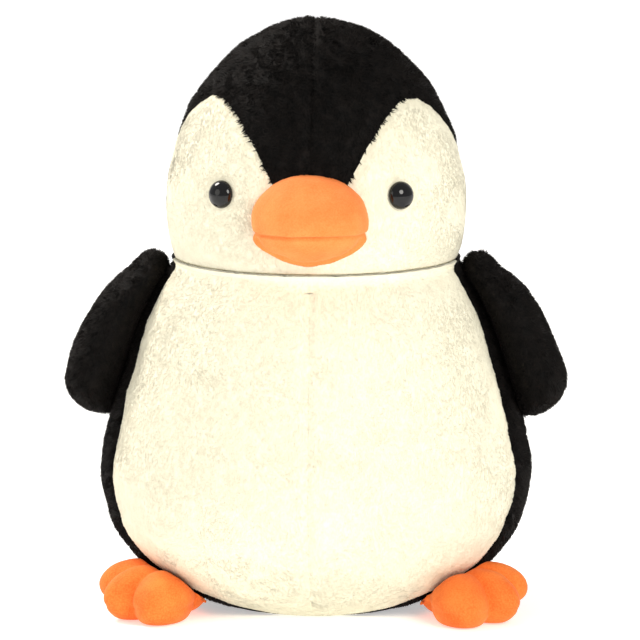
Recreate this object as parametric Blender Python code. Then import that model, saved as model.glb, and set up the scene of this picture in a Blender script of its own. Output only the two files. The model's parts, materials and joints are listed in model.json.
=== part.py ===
"""Plush penguin: a sewn and stuffed toy, 300 mm tall, as separate panels, stuffing, eyes and soft joints.

Metres, +Z up. The toy faces -Y and stands on Z = 0; its own left is +X. Every fabric panel is a thin
shell cut from the form of its stuffed piece, and the stuffing inside each form is a solid of its own.
"""

from math import acos, asin, atan2, cos, pi, radians, sin

import bmesh
import bpy
from mathutils import Matrix, Vector

# ---- driving dimensions ------------------------------------------------------------------------
HEIGHT = 0.300                  # floor to crown
GAP = 0.0003                    # clearance between pieces that touch
FABRIC = 0.0020                 # plush backing with its nap pressed flat
VELBOA = 0.0015                 # the thinner fabric of the beak and the feet

# Head: an egg that is widest low down, turning in a round neck cup about HEAD_PIVOT
HEAD_WIDE_Z = 0.205
HEAD_HALF_WIDTH = 0.076
HEAD_HALF_DEPTH = 0.073
JOWL_HALF_DEPTH = 0.0755        # the face swells a little below the widest level
HEAD_BOTTOM_Z = 0.158
CROWN_TAPER = 1.12              # above the widest level the head narrows a little faster than an ellipse
JOWL_REACH = 0.45               # the jowls are fullest this share of the way down to the head's bottom
HEAD_PIVOT = Vector((0.0, 0.0, 0.218))
NECK_BALL = 0.0814              # radius of the head's underside about its pivot
NECK_CUP = 0.0820               # radius of the hollow in the torso's top
NECK_CUT_Z = 0.166              # the head fabric ends here, inside the cup

# The seam between the black crown and a white cheek: up the face from the beak in X and Z, over an
# arch above the eye, then down behind the cheek in the cheek's own view, which looks along CHEEK_TURN
CHEEK_TURN = radians(45)
CHEEK_FRONT = [(0.0180, 0.2215), (0.0210, 0.2275), (0.0275, 0.2398), (0.0335, 0.2489), (0.0378, 0.2556),
               (0.0440, 0.2620), (0.0500, 0.2640)]
CHEEK_BACK = [(0.0250, 0.2610), (0.0370, 0.2540), (0.0490, 0.2430), (0.0590, 0.2270), (0.0645, 0.2080),
              (0.0650, 0.1850)]
CHEEK_LOW_Z = 0.120             # the cheek's outline is closed here, below the head
CHEEK_FAR_U = -0.075            # and here, past the centre seam

# Beak: a wide oval cushion on the face
BEAK_CENTRE = Vector((0.0, -0.068, 0.2057))
BEAK_HALF = Vector((0.029, 0.030, 0.0232))
MOUTH_Z = 0.2007

# Safety eyes: a 14 mm dome on a stem, held by a washer behind the fabric
EYE_RADIUS = 0.0070
EYE_PROUD = 0.0052
EYE_X = 0.0450
EYE_Z = 0.2173
STEM_RADIUS = 0.0022
STEM_LENGTH = 0.0120
WASHER_RADIUS = 0.0075
WASHER_THICK = 0.0015
WASHER_DEPTH = FABRIC + 0.0016  # the curved fabric comes closest to the washer at its rim

# Torso: half-width at each height, from the flat base to the rim under the head
TORSO_STATIONS = [
    (0.000, 0.0420), (0.005, 0.0580), (0.0176, 0.0820), (0.0307, 0.0955), (0.048, 0.1052), (0.071, 0.1093),
    (0.0965, 0.1045), (0.125, 0.0963), (0.150, 0.0875), (0.170, 0.0765), (0.182, 0.0660), (0.188, 0.0500),
    (0.190, 0.0000),
]
BELLY_DEPTH = 0.90              # front depth as a share of the half-width, low on the torso
BACK_DEPTH = 0.78
BASE_RADIUS = 0.040
BELLY_SEAM = [(0.000, -0.036), (0.040, -0.033), (0.086, -0.031), (0.150, -0.021), (0.190, -0.012)]

# Wings: stuffed flippers that hang against the torso from a shoulder seam along Y
SHOULDER = Vector((0.0838, 0.0, 0.1735))
SHOULDER_ROUND = 0.0078         # the wing's top is round about the seam, so it turns clear of the torso
WING_TIP_Z = 0.0975
WING_CLEARANCE = 0.0007         # between the wing's inner face and the torso
WING_HALF_THICK = [(0.0, 0.0100), (0.1, 0.0112), (0.4, 0.0131), (0.75, 0.0144), (1.0, 0.0118)]
WING_HALF_CHORD = [(0.0, 0.0230), (0.3, 0.0290), (0.7, 0.0310), (1.0, 0.0250)]

# Feet: three-toed, sewn under the torso's edge and pointing well outward
FOOT_TURN = radians(66)         # from straight ahead
FOOT_HINGE_RADIUS = 0.0640
FOOT_HINGE_Z = 0.0035
FOOT_ROOT = 0.0030              # radius of the thin root about its seam
FOOT_REACH = 0.0520             # hinge to toe tips
FOOT_CENTRE = 0.0215            # hinge to the middle of the foot's outline
FOOT_HALF_WIDTH = 0.0390
FOOT_HEIGHT = 0.0285
FOOT_SEAM_Z = 0.0080            # where the top panel meets the sole
FOOT_CLEARANCE = 0.0008         # between the foot and the torso above it
TOE_BULGE = 0.12                # how far the toes swell past the gaps between them
TOE_SPREAD = radians(42)        # between neighbouring toes
TOE_FAN = radians(-15)          # the middle toe's turn towards the front

# Tail: a small stuffed wedge low on the back
TAIL_Z = 0.046
TAIL_ROOT = 0.0070
TAIL_HALF_WIDTH = 0.0190
TAIL_DROOP = 0.0040             # how far the tip hangs below the root
TAIL_SEAM_Z = TAIL_Z - TAIL_DROOP / 2

SIDES = {"left": 1, "right": -1}


# ---- small helpers -----------------------------------------------------------------------------
def clear_scene():
    for item in list(bpy.data.objects):
        bpy.data.objects.remove(item, do_unlink=True)


def new_collection(name):
    group = bpy.data.collections.new(name)
    bpy.context.scene.collection.children.link(group)
    return group


def fabric_material(name, colour, roughness):
    material = bpy.data.materials.new(name)
    material.use_nodes = True
    shader = material.node_tree.nodes["Principled BSDF"]
    shader.inputs["Base Color"].default_value = (*colour, 1.0)
    shader.inputs["Roughness"].default_value = roughness
    shader.inputs["Metallic"].default_value = 0.0
    material.diffuse_color = (*colour, 1.0)
    return material


def face_outward(bm):
    bmesh.ops.recalc_face_normals(bm, faces=bm.faces)
    if bm.calc_volume(signed=True) < 0:
        bmesh.ops.reverse_faces(bm, faces=bm.faces)
    bm.normal_update()


def add_object(name, bm, material=None):
    """Turn a bmesh into a part, or into a hidden cutter when it has no material."""
    face_outward(bm)
    mesh = bpy.data.meshes.new(name)
    bm.to_mesh(mesh)
    bm.free()
    piece = bpy.data.objects.new(name, mesh)
    if material is None:
        CUTTERS.objects.link(piece)
        piece.hide_render = True
        piece.display_type = "WIRE"
    else:
        PARTS.objects.link(piece)
        mesh.materials.append(material)
        mesh.shade_smooth()
    return piece


def boolean(piece, operation, cutter):
    modifier = piece.modifiers.new(f"{operation.title()} {cutter.name}", "BOOLEAN")
    modifier.operation = operation
    modifier.solver = "EXACT"
    modifier.object = cutter


def pivot(name, location):
    """An empty on a joint's axis; the moving pieces are its children."""
    empty = bpy.data.objects.new(name, None)
    empty.location = location
    empty.empty_display_size = 0.01
    PARTS.objects.link(empty)
    return empty


def hang_on(empty, *pieces):
    for piece in pieces:
        piece.parent = empty
        piece.matrix_parent_inverse = Matrix.Translation(-empty.location)


def smooth_value(stations, t):
    """Read a curve through (position, value) stations, with level tangents only at its turning points."""
    if t <= stations[0][0]:
        return stations[0][1]
    if t >= stations[-1][0]:
        return stations[-1][1]
    slopes = [(b[1] - a[1]) / (b[0] - a[0]) for a, b in zip(stations, stations[1:])]
    tangents = [slopes[0]]
    for before, after in zip(slopes, slopes[1:]):
        tangents.append(0.0 if before * after <= 0 else 2 * before * after / (before + after))
    tangents.append(slopes[-1])
    for i, (a, b) in enumerate(zip(stations, stations[1:])):
        if t <= b[0]:
            width = b[0] - a[0]
            u = (t - a[0]) / width
            start = (1 + 2 * u) * (1 - u) ** 2 * a[1] + u * (1 - u) ** 2 * width * tangents[i]
            return start + u * u * (3 - 2 * u) * b[1] + u * u * (u - 1) * width * tangents[i + 1]


def soft_form(segments, rings, surface, *insets):
    """A ball of fabric: a sphere whose points are moved to surface(longitude, latitude), then inward in steps."""
    bm = bmesh.new()
    bmesh.ops.create_uvsphere(bm, u_segments=segments, v_segments=rings, radius=1.0)
    for vertex in bm.verts:
        x, y, z = vertex.co
        vertex.co = surface(atan2(y, x), asin(max(-1.0, min(1.0, z))))
    face_outward(bm)
    for inset in insets:
        for vertex, shift in [(vertex, vertex.normal * inset) for vertex in bm.verts]:
            vertex.co -= shift
        bm.normal_update()
    return bm


def box_cutter(name, low, high):
    bm = bmesh.new()
    bmesh.ops.create_cube(bm, size=1.0)
    for vertex in bm.verts:
        vertex.co = [a + (b - a) * (c + 0.5) for a, b, c in zip(low, high, vertex.co)]
    return add_object(name, bm)


def rod_cutter(name, radius, start, end, segments=20):
    bm = bmesh.new()
    along = Vector(end) - Vector(start)
    bmesh.ops.create_cone(bm, cap_ends=True, segments=segments, radius1=radius, radius2=radius, depth=along.length)
    turn = Vector((0, 0, 1)).rotation_difference(along)
    bm.transform(Matrix.Translation((Vector(start) + Vector(end)) / 2) @ turn.to_matrix().to_4x4())
    return add_object(name, bm)


def prism(points, low, high, axis):
    """An outline in X and Z pulled along Y, or an outline in Y and Z pulled along X."""
    bm = bmesh.new()
    if axis == "Y":
        ring = [bm.verts.new((a, low, b)) for a, b in points]
        along = (0, high - low, 0)
    else:
        ring = [bm.verts.new((low, a, b)) for a, b in points]
        along = (high - low, 0, 0)
    cap = bm.faces.new(ring)
    extruded = bmesh.ops.extrude_face_region(bm, geom=[cap])
    moved = [item for item in extruded["geom"] if isinstance(item, bmesh.types.BMVert)]
    bmesh.ops.translate(bm, vec=along, verts=moved)
    return bm


def outline_cutter(name, points, low, high, axis):
    return add_object(name, prism(points, low, high, axis))


def form_cutter(name, segments, rings, surface, inset):
    return add_object(name, soft_form(segments, rings, surface, inset))


# ---- forms -------------------------------------------------------------------------------------
def head_surface(longitude, latitude):
    across, up = cos(latitude), sin(latitude)
    if up >= 0:
        z = HEAD_WIDE_Z + (HEIGHT - HEAD_WIDE_Z) * up
        across = across ** CROWN_TAPER
        depth = HEAD_HALF_DEPTH
    else:
        z = HEAD_WIDE_Z + (HEAD_WIDE_Z - HEAD_BOTTOM_Z) * up
        across = (1 + up ** 3) ** (1 / 3)          # the jowls stay full before they turn in to the neck
        depth = HEAD_HALF_DEPTH + (JOWL_HALF_DEPTH - HEAD_HALF_DEPTH) * min(1.0, -up / JOWL_REACH)
    return (HEAD_HALF_WIDTH * across * cos(longitude), depth * across * sin(longitude), z)


def beak_surface(longitude, latitude):
    across, up = cos(latitude), sin(latitude)
    x = BEAK_HALF.x * across * cos(longitude)
    y = BEAK_HALF.y * across * sin(longitude)
    return (x, BEAK_CENTRE.y + y, BEAK_CENTRE.z + BEAK_HALF.z * up)


def torso_surface(longitude, latitude):
    top = TORSO_STATIONS[-1][0]
    z = top * (0.5 + 0.5 * sin(latitude))
    half_width = smooth_value(TORSO_STATIONS, z)
    if latitude < -radians(65):                    # the last rings close the flat base
        half_width = BASE_RADIUS * 1.04 * (latitude + pi / 2) / radians(25)
        z = 0.0
    towards_neck = max(0.0, min(1.0, (z - 0.075) / 0.105)) ** 1.3
    share = BELLY_DEPTH if sin(longitude) < 0 else BACK_DEPTH
    depth = half_width * (share + (1.0 - share) * towards_neck)
    return (half_width * cos(longitude), depth * sin(longitude), z)


def wing_slice(along):
    """Height, inner face and thickness of the wing, at along = 0 (shoulder) to 1 (tip)."""
    top = SHOULDER.z + SHOULDER_ROUND
    z = top + (WING_TIP_Z - top) * along
    above_seam = z - SHOULDER.z
    if above_seam > 0:
        inner_x = SHOULDER.x - max(0.0, SHOULDER_ROUND ** 2 - above_seam ** 2) ** 0.5
    else:
        inner_x = smooth_value(TORSO_STATIONS, z) + WING_CLEARANCE
    inner_x = max(inner_x, SHOULDER.x - SHOULDER_ROUND)
    taper = (1 - abs(1 - 2 * along) ** 4) ** 0.5
    return z, inner_x, 2 * smooth_value(WING_HALF_THICK, along) * taper, taper


def wing_surface(side):
    def surface(longitude, latitude):
        along = 0.5 - 0.5 * sin(latitude)
        z, inner_x, thickness, taper = wing_slice(along)
        y = smooth_value(WING_HALF_CHORD, along) * taper * sin(longitude)
        return (side * (inner_x + thickness * (0.5 + 0.5 * cos(longitude))), y, z)

    return surface


def foot_frame(side):
    outward = Vector((side * sin(FOOT_TURN), -cos(FOOT_TURN), 0.0))
    along = Vector((side * cos(FOOT_TURN), sin(FOOT_TURN), 0.0))
    hinge = outward * FOOT_HINGE_RADIUS + Vector((0.0, 0.0, FOOT_HINGE_Z))
    return hinge, outward, along


def torso_underside(x, y):
    """The height of the torso's lower surface above a point of the floor."""
    half_width = Vector((x, y / (BELLY_DEPTH if y < 0 else BACK_DEPTH))).length
    low, high = 0.0, 0.071
    for _ in range(24):
        middle = (low + high) / 2
        if smooth_value(TORSO_STATIONS, middle) < half_width:
            low = middle
        else:
            high = middle
    return low


def foot_surface(side, depth=0.0):
    """The foot's form, or one nested inside it: it thins to nothing at its seam, under the torso."""
    hinge, outward, along = foot_frame(side)
    centre = hinge + outward * FOOT_CENTRE
    middle_z = 0.4 * FOOT_HEIGHT

    def surface(longitude, latitude):
        from_middle_toe = (longitude - TOE_FAN) / TOE_SPREAD
        between_toes = 1 - abs(cos(pi * from_middle_toe)) if abs(from_middle_toe) < 1 else 0.0
        reach = FOOT_REACH - FOOT_CENTRE if abs(longitude) <= pi / 2 else FOOT_ROOT + FOOT_CENTRE
        plan = cos(latitude) ** 0.7 * (1 - TOE_BULGE * between_toes) * (1 - depth / FOOT_CENTRE)
        place = centre + outward * (reach * plan * cos(longitude)) + along * (FOOT_HALF_WIDTH * plan * sin(longitude))
        if latitude >= 0:
            height = FOOT_SEAM_Z + (FOOT_HEIGHT - FOOT_SEAM_Z) * sin(latitude) ** 0.8
            height -= 0.003 * between_toes * sin(latitude)
        else:
            height = FOOT_SEAM_Z * (1 - min(1.0, 1.2 * -sin(latitude)) ** 1.6)
        height = middle_z + (height - middle_z) * (1 - depth / middle_z)
        under_torso = min(1.0, (torso_underside(place.x, place.y) - FOOT_CLEARANCE) / FOOT_HEIGHT)
        return (place.x, place.y, height * under_torso)

    return surface


def tail_surface(longitude, latitude):
    along = 0.5 + 0.5 * sin(latitude)              # 0 at the root, 1 at the tip
    start = TAIL_HINGE_Y - TAIL_ROOT
    y = start + (TAIL_TIP_Y - start) * along
    width = TAIL_HALF_WIDTH * (1 - 0.35 * along) * cos(latitude) ** 0.7
    height = TAIL_ROOT * (1 - 0.25 * along) * cos(latitude) ** 0.8
    return (width * cos(longitude), y, TAIL_Z - TAIL_DROOP * along + height * sin(longitude))


# ---- pieces ------------------------------------------------------------------------------------
def make_head():
    """Two black crown panels, two white cheek panels and the stuffing, round the neck opening."""
    segments, rings = 28, 16
    inner = form_cutter("head_inner_form", segments, rings, head_surface, FABRIC)
    beak_hole = form_cutter("beak_hole", 18, 10, beak_surface, -GAP)
    below_neck = box_cutter("below_neck", (-0.1, -0.1, 0.10), (0.1, 0.1, NECK_CUT_Z))
    stems = [eye_rod(f"{name}_eye_hole", side, STEM_RADIUS + GAP, -0.006, STEM_LENGTH + 0.001)
             for name, side in SIDES.items()]
    pockets = [eye_rod(f"{name}_washer_pocket", side, WASHER_RADIUS + GAP, -0.006,
                       WASHER_DEPTH + WASHER_THICK + GAP) for name, side in SIDES.items()]
    panels = []
    for name, side in SIDES.items():
        cheek_zone = cheek_cutter(f"{name}_cheek_zone", side, 0.0)
        black_cut = cheek_cutter(f"{name}_black_cut", side, GAP)
        crown_half = box_cutter(f"{name}_crown_half", *half_box(side, 0.1, 0.130, 0.31))
        cheek_half = box_cutter(f"{name}_cheek_half", *half_box(side, 0.1, 0.130, 0.31))

        crown = add_object(f"{name}_crown_panel", soft_form(segments, rings, head_surface), BLACK_PLUSH)
        cheek = add_object(f"{name}_cheek_panel", soft_form(segments, rings, head_surface), WHITE_PLUSH)
        for panel in (crown, cheek):
            boolean(panel, "DIFFERENCE", inner)
            boolean(panel, "DIFFERENCE", below_neck)
        boolean(crown, "INTERSECT", crown_half)
        boolean(crown, "DIFFERENCE", black_cut)
        boolean(crown, "DIFFERENCE", beak_hole)
        boolean(cheek, "INTERSECT", cheek_zone)
        boolean(cheek, "INTERSECT", cheek_half)
        boolean(cheek, "DIFFERENCE", beak_hole)
        boolean(cheek, "DIFFERENCE", stems[0 if side > 0 else 1])
        panels += [crown, cheek]

    above_neck = box_cutter("above_neck", (-0.1, -0.1, NECK_CUT_Z + GAP), (0.1, 0.1, 0.31))
    stuffing = add_object("head_stuffing", soft_form(segments, rings, head_surface, FABRIC, GAP), STUFFING)
    boolean(stuffing, "INTERSECT", above_neck)
    for cut in (*stems, *pockets):
        boolean(stuffing, "DIFFERENCE", cut)
    return [*panels, stuffing]


def cheek_cutter(name, side, spare):
    """A prism over one white cheek, looking along CHEEK_TURN; its edge is the black and white seam."""
    front = [(cheek_u(x, z), z) for x, z in CHEEK_FRONT]
    half_width = CHEEK_BACK[-1][0] - 0.025
    outline = [(u * (1 + spare / half_width), z + spare) for u, z in [*front, *CHEEK_BACK]]
    bm = prism([(CHEEK_FAR_U, CHEEK_LOW_Z), (CHEEK_FAR_U, CHEEK_FRONT[0][1]), *outline,
                (CHEEK_BACK[-1][0], CHEEK_LOW_Z)], -0.150, 0.0, "Y")
    bm.transform(Matrix.Scale(side, 4, (1, 0, 0)) @ Matrix.Rotation(CHEEK_TURN, 4, "Z"))
    return add_object(name, bm)


def cheek_u(x, z):
    """Across the cheek's own view, where a point of the face at x and z lies."""
    across = cos(asin((z - HEAD_WIDE_Z) / (HEIGHT - HEAD_WIDE_Z))) ** CROWN_TAPER
    y = -HEAD_HALF_DEPTH * max(0.0, across ** 2 - (x / HEAD_HALF_WIDTH) ** 2) ** 0.5
    return x * cos(CHEEK_TURN) + y * sin(CHEEK_TURN)


def half_box(side, size, low_z, high_z):
    """Corners of the half-space on one side of the centre seam."""
    near, far = GAP / 2, size
    low_x, high_x = (near, far) if side > 0 else (-far, -near)
    return (low_x, -0.15, low_z), (high_x, 0.15, high_z)


def eye_axis(side):
    """Where an eye's stem leaves the fabric, and the fabric's own normal there, along which the eye looks."""
    latitude = asin((EYE_Z - HEAD_WIDE_Z) / (HEIGHT - HEAD_WIDE_Z))
    across = HEAD_HALF_WIDTH * cos(latitude) ** CROWN_TAPER
    longitude = -acos(EYE_X / across)
    seat = Vector(head_surface(longitude, latitude))
    step = radians(1)
    round_head = Vector(head_surface(longitude + step, latitude)) - Vector(head_surface(longitude - step, latitude))
    up_head = Vector(head_surface(longitude, latitude + step)) - Vector(head_surface(longitude, latitude - step))
    look = round_head.cross(up_head).normalized()
    return Vector((side * seat.x, seat.y, seat.z)), Vector((side * look.x, look.y, look.z))


def eye_rod(name, side, radius, start, end):
    """A round cutter on the eye's axis, from start (outside when negative) to end (inside)."""
    seat, look = eye_axis(side)
    return rod_cutter(name, radius, seat - look * start, seat - look * end, 12)


def turned(profile, segments, side):
    """A piece turned about the eye's axis from (radius, distance inward) points."""
    bm = bmesh.new()
    points = [bm.verts.new((r, 0.0, -d)) for r, d in profile]
    edges = [bm.edges.new(pair) for pair in zip(points, points[1:])]
    bmesh.ops.spin(bm, geom=points + edges, cent=(0, 0, 0), axis=(0, 0, 1), angle=2 * pi, steps=segments,
                   use_merge=True)
    bmesh.ops.remove_doubles(bm, verts=bm.verts, dist=0.00001)
    seat, look = eye_axis(side)
    turn = Vector((0, 0, 1)).rotation_difference(look)
    bm.transform(Matrix.Translation(seat) @ turn.to_matrix().to_4x4())
    return bm


def make_eyes():
    pieces = []
    for name, side in SIDES.items():
        dome = [(EYE_RADIUS * sin(a), -GAP - EYE_PROUD * cos(a)) for a in (i * pi / 12 for i in range(6))]
        rim = [(EYE_RADIUS, -GAP - 0.0006), (STEM_RADIUS, -GAP), (STEM_RADIUS, STEM_LENGTH - 0.001),
               (STEM_RADIUS * 0.5, STEM_LENGTH), (0.0, STEM_LENGTH)]
        eye = add_object(f"{name}_eye", turned(dome + rim, 12, side), GLOSS_BLACK)
        near = WASHER_DEPTH
        bore = STEM_RADIUS + GAP
        ring = [(bore, near), (WASHER_RADIUS, near), (WASHER_RADIUS, near + WASHER_THICK),
                (bore, near + WASHER_THICK), (bore, near)]
        washer = add_object(f"{name}_eye_washer", turned(ring, 12, side), WASHER_PLASTIC)
        pieces += [eye, washer]
    return pieces


def make_beak():
    """Upper and lower halves round one stuffing, seamed along the mouth."""
    segments, rings = 18, 10
    inner = form_cutter("beak_inner_form", segments, rings, beak_surface, VELBOA)
    face = form_cutter("face_behind_beak", 28, 16, head_surface, FABRIC)
    above = box_cutter("above_mouth", (-0.05, -0.12, MOUTH_Z + GAP / 2), (0.05, 0.0, 0.26))
    below = box_cutter("below_mouth", (-0.05, -0.12, 0.15), (0.05, 0.0, MOUTH_Z - GAP / 2))
    pieces = []
    for name, half in (("upper_beak_panel", above), ("lower_beak_panel", below)):
        panel = add_object(name, soft_form(segments, rings, beak_surface), ORANGE_VELBOA)
        boolean(panel, "DIFFERENCE", inner)
        boolean(panel, "INTERSECT", half)
        boolean(panel, "DIFFERENCE", face)
        pieces.append(panel)
    stuffing = add_object("beak_stuffing", soft_form(segments, rings, beak_surface, VELBOA, GAP), STUFFING)
    boolean(stuffing, "DIFFERENCE", face)
    return [*pieces, stuffing]


def neck_ball_cutter(name, radius):
    bm = bmesh.new()
    bmesh.ops.create_uvsphere(bm, u_segments=28, v_segments=28, radius=radius)
    bmesh.ops.translate(bm, vec=HEAD_PIVOT, verts=bm.verts)
    return add_object(name, bm)


def make_neck():
    """The wad of stuffing in the neck opening, which carries the head on the torso."""
    bm = bmesh.new()
    bmesh.ops.create_uvsphere(bm, u_segments=28, v_segments=28, radius=NECK_BALL)
    bmesh.ops.translate(bm, vec=HEAD_PIVOT, verts=bm.verts)
    neck = add_object("neck_stuffing", bm, STUFFING)
    cap = box_cutter("neck_cap", (-0.1, -0.1, 0.12), (0.1, 0.1, NECK_CUT_Z - GAP))
    boolean(neck, "INTERSECT", cap)
    return neck


def make_torso():
    """Belly and back halves, the flat base and the stuffing, hollowed at the top for the head."""
    segments, rings = 28, 18
    inner = form_cutter("torso_inner_form", segments, rings, torso_surface, FABRIC)
    cup = neck_ball_cutter("neck_cup", NECK_CUP)
    base_zone = rod_cutter("base_zone", BASE_RADIUS, (0, 0, -0.01), (0, 0, 0.01), 32)
    base_hole = rod_cutter("base_hole", BASE_RADIUS + GAP, (0, 0, -0.01), (0, 0, 0.01), 32)
    front = [(y, z) for z, y in BELLY_SEAM]
    front_zone = outline_cutter("front_zone", [(-0.15, -0.01), (front[0][0], -0.01), *front, (-0.012, 0.2),
                                               (-0.15, 0.2)], -0.15, 0.15, "X")
    seam_gap = [(y + GAP, z) for y, z in front]
    back_zone = outline_cutter("back_zone", [(0.15, -0.01), (seam_gap[0][0], -0.01), *seam_gap,
                                             (-0.012 + GAP, 0.2), (0.15, 0.2)], -0.15, 0.15, "X")
    pieces = []
    for name, side in SIDES.items():
        half = box_cutter(f"{name}_torso_half", *half_box(side, 0.15, -0.01, 0.2))
        for kind, zone, material in (("belly", front_zone, WHITE_PLUSH), ("back", back_zone, BLACK_PLUSH)):
            panel = add_object(f"{name}_{kind}_panel", soft_form(segments, rings, torso_surface), material)
            boolean(panel, "DIFFERENCE", inner)
            boolean(panel, "INTERSECT", half)
            boolean(panel, "INTERSECT", zone)
            boolean(panel, "DIFFERENCE", cup)
            boolean(panel, "DIFFERENCE", base_hole)
            pieces.append(panel)
    base = add_object("base_panel", soft_form(segments, rings, torso_surface), WHITE_PLUSH)
    boolean(base, "DIFFERENCE", inner)
    boolean(base, "INTERSECT", base_zone)
    stuffing = add_object("torso_stuffing", soft_form(segments, rings, torso_surface, FABRIC, GAP), STUFFING)
    boolean(stuffing, "DIFFERENCE", cup)
    return [*pieces, base, stuffing]


def make_two_sided(name, forms, skins, material):
    """A stuffed piece of two panels. forms makes the outer, inner and stuffing surfaces; skins gives each
    panel's name suffix and the zone that it keeps."""
    inner = add_object(f"{name}_inner_form", forms(1))
    pieces = []
    for suffix, zone in skins:
        panel = add_object(f"{name}_{suffix}", forms(0), material)
        boolean(panel, "DIFFERENCE", inner)
        boolean(panel, "INTERSECT", zone)
        pieces.append(panel)
    return [*pieces, add_object(f"{name}_stuffing", forms(2), STUFFING)]


def nested(segments, rings, surface, fabric):
    """The outer surface, the fabric's inner face and the stuffing, each a step further in."""
    steps = ((), (fabric,), (fabric, 2 * GAP))
    return lambda level: soft_form(segments, rings, surface, *steps[level])


def make_wing(name, side):
    slices = [wing_slice(i / 8) for i in range(9)]
    middle = [(inner_x + thickness / 2, z) for z, inner_x, thickness, _ in slices]
    line = [(middle[0][0], middle[0][1] + 0.02), *middle, (middle[-1][0], middle[-1][1] - 0.02)]

    def zone(suffix, shift, far_x):
        edge = [(side * (x + shift), z) for x, z in line]
        corners = [(side * far_x, line[-1][1]), (side * far_x, line[0][1])]
        return outline_cutter(f"{name}_wing_{suffix}", [*edge, *corners], -0.05, 0.05, "Y")

    outer = zone("outside", GAP / 2, 0.15)
    inner = zone("inside", -GAP / 2, 0.05)
    pieces = make_two_sided(f"{name}_wing", nested(14, 9, wing_surface(side), FABRIC),
                            (("outer_panel", outer), ("inner_panel", inner)), BLACK_PLUSH)
    hinge = pivot(f"{name}_wing_pivot", Vector((side * SHOULDER.x, SHOULDER.y, SHOULDER.z)))
    hang_on(hinge, *pieces)


def make_foot(name, side):
    depths = (0.0, VELBOA, VELBOA + 4 * GAP)        # the creases between toes need more room for the stuffing

    def forms(level):
        return soft_form(28, 10, foot_surface(side, depths[level]))

    top = box_cutter(f"{name}_foot_top_zone", (-0.2, -0.2, FOOT_SEAM_Z + GAP / 2), (0.2, 0.2, 0.05))
    sole = box_cutter(f"{name}_foot_sole_zone", (-0.2, -0.2, -0.01), (0.2, 0.2, FOOT_SEAM_Z - GAP / 2))
    pieces = make_two_sided(f"{name}_foot", forms, (("top_panel", top), ("sole_panel", sole)), ORANGE_VELBOA)
    hinge = pivot(f"{name}_foot_pivot", foot_frame(side)[0])
    hang_on(hinge, *pieces)


def make_tail():
    above = box_cutter("tail_above", (-0.05, 0.0, TAIL_SEAM_Z + GAP / 2), (0.05, 0.15, 0.08))
    below = box_cutter("tail_below", (-0.05, 0.0, 0.02), (0.05, 0.15, TAIL_SEAM_Z - GAP / 2))
    pieces = make_two_sided("tail", nested(12, 6, tail_surface, FABRIC),
                            (("upper_panel", above), ("lower_panel", below)), BLACK_PLUSH)
    hinge = pivot("tail_pivot", Vector((0.0, TAIL_HINGE_Y, TAIL_Z)))
    hang_on(hinge, *pieces)


clear_scene()
PARTS = new_collection("plush_penguin")
CUTTERS = new_collection("cutters")

BLACK_PLUSH = fabric_material("black_plush", (0.010, 0.009, 0.010), 0.95)
WHITE_PLUSH = fabric_material("white_plush", (0.90, 0.88, 0.74), 0.95)
ORANGE_VELBOA = fabric_material("orange_velboa", (0.95, 0.30, 0.06), 0.85)
STUFFING = fabric_material("polyester_stuffing", (0.85, 0.85, 0.84), 1.0)
GLOSS_BLACK = fabric_material("gloss_black_plastic", (0.006, 0.006, 0.007), 0.08)
WASHER_PLASTIC = fabric_material("washer_plastic", (0.75, 0.75, 0.73), 0.45)

BEAK_TIP_Y = BEAK_CENTRE.y - BEAK_HALF.y
TAIL_TIP_Y = -BEAK_TIP_Y                           # the tail reaches as far back as the beak reaches forward
TAIL_HINGE_Y = BACK_DEPTH * smooth_value(TORSO_STATIONS, TAIL_Z) + TAIL_ROOT + 3 * GAP

head_pivot = pivot("head_pivot", HEAD_PIVOT)
hang_on(head_pivot, *make_head(), *make_eyes(), *make_beak(), make_neck())
make_torso()
for side_name, side_sign in SIDES.items():
    make_wing(side_name, side_sign)
    make_foot(side_name, side_sign)
make_tail()
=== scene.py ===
"""The looks of a plush penguin: pile fabric, stuffed forms, sewn seams, eyes, studio and camera.

Everything is in metres, +Z up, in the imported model's own frame. The toy faces -Y, its own left is +X.
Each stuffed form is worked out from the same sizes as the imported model, blown up as cloth that is held
along its seams, cut into its panels along those seams, and covered in a pile of short tufts.
"""
import json
from math import acos, asin, cos, pi, radians, sin, sqrt

import bmesh
import bpy
import numpy as np
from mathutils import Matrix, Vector
from mathutils.bvhtree import BVHTree
from mathutils.kdtree import KDTree


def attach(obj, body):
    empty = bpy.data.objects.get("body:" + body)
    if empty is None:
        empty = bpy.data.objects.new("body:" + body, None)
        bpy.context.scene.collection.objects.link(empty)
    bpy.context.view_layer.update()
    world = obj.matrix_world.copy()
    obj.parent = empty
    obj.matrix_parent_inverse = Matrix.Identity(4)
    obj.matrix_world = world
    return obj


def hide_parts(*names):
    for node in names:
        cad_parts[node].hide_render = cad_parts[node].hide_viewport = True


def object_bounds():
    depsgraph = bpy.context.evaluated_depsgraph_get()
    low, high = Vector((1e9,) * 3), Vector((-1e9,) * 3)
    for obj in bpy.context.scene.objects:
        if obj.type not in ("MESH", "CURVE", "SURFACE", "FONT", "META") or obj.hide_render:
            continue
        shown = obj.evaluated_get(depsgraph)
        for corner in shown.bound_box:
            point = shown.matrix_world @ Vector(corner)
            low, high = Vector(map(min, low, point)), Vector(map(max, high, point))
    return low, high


bl_info = {
    "name": "Plush Penguin",
    "version": (1, 0, 0),
    "blender": (4, 5, 0),
    "location": "3D View > Sidebar > Penguin",
    "description": "Builds the fabric, eyes and studio of a stuffed penguin around its packed frame",
    "category": "Add Mesh",
}

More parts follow.
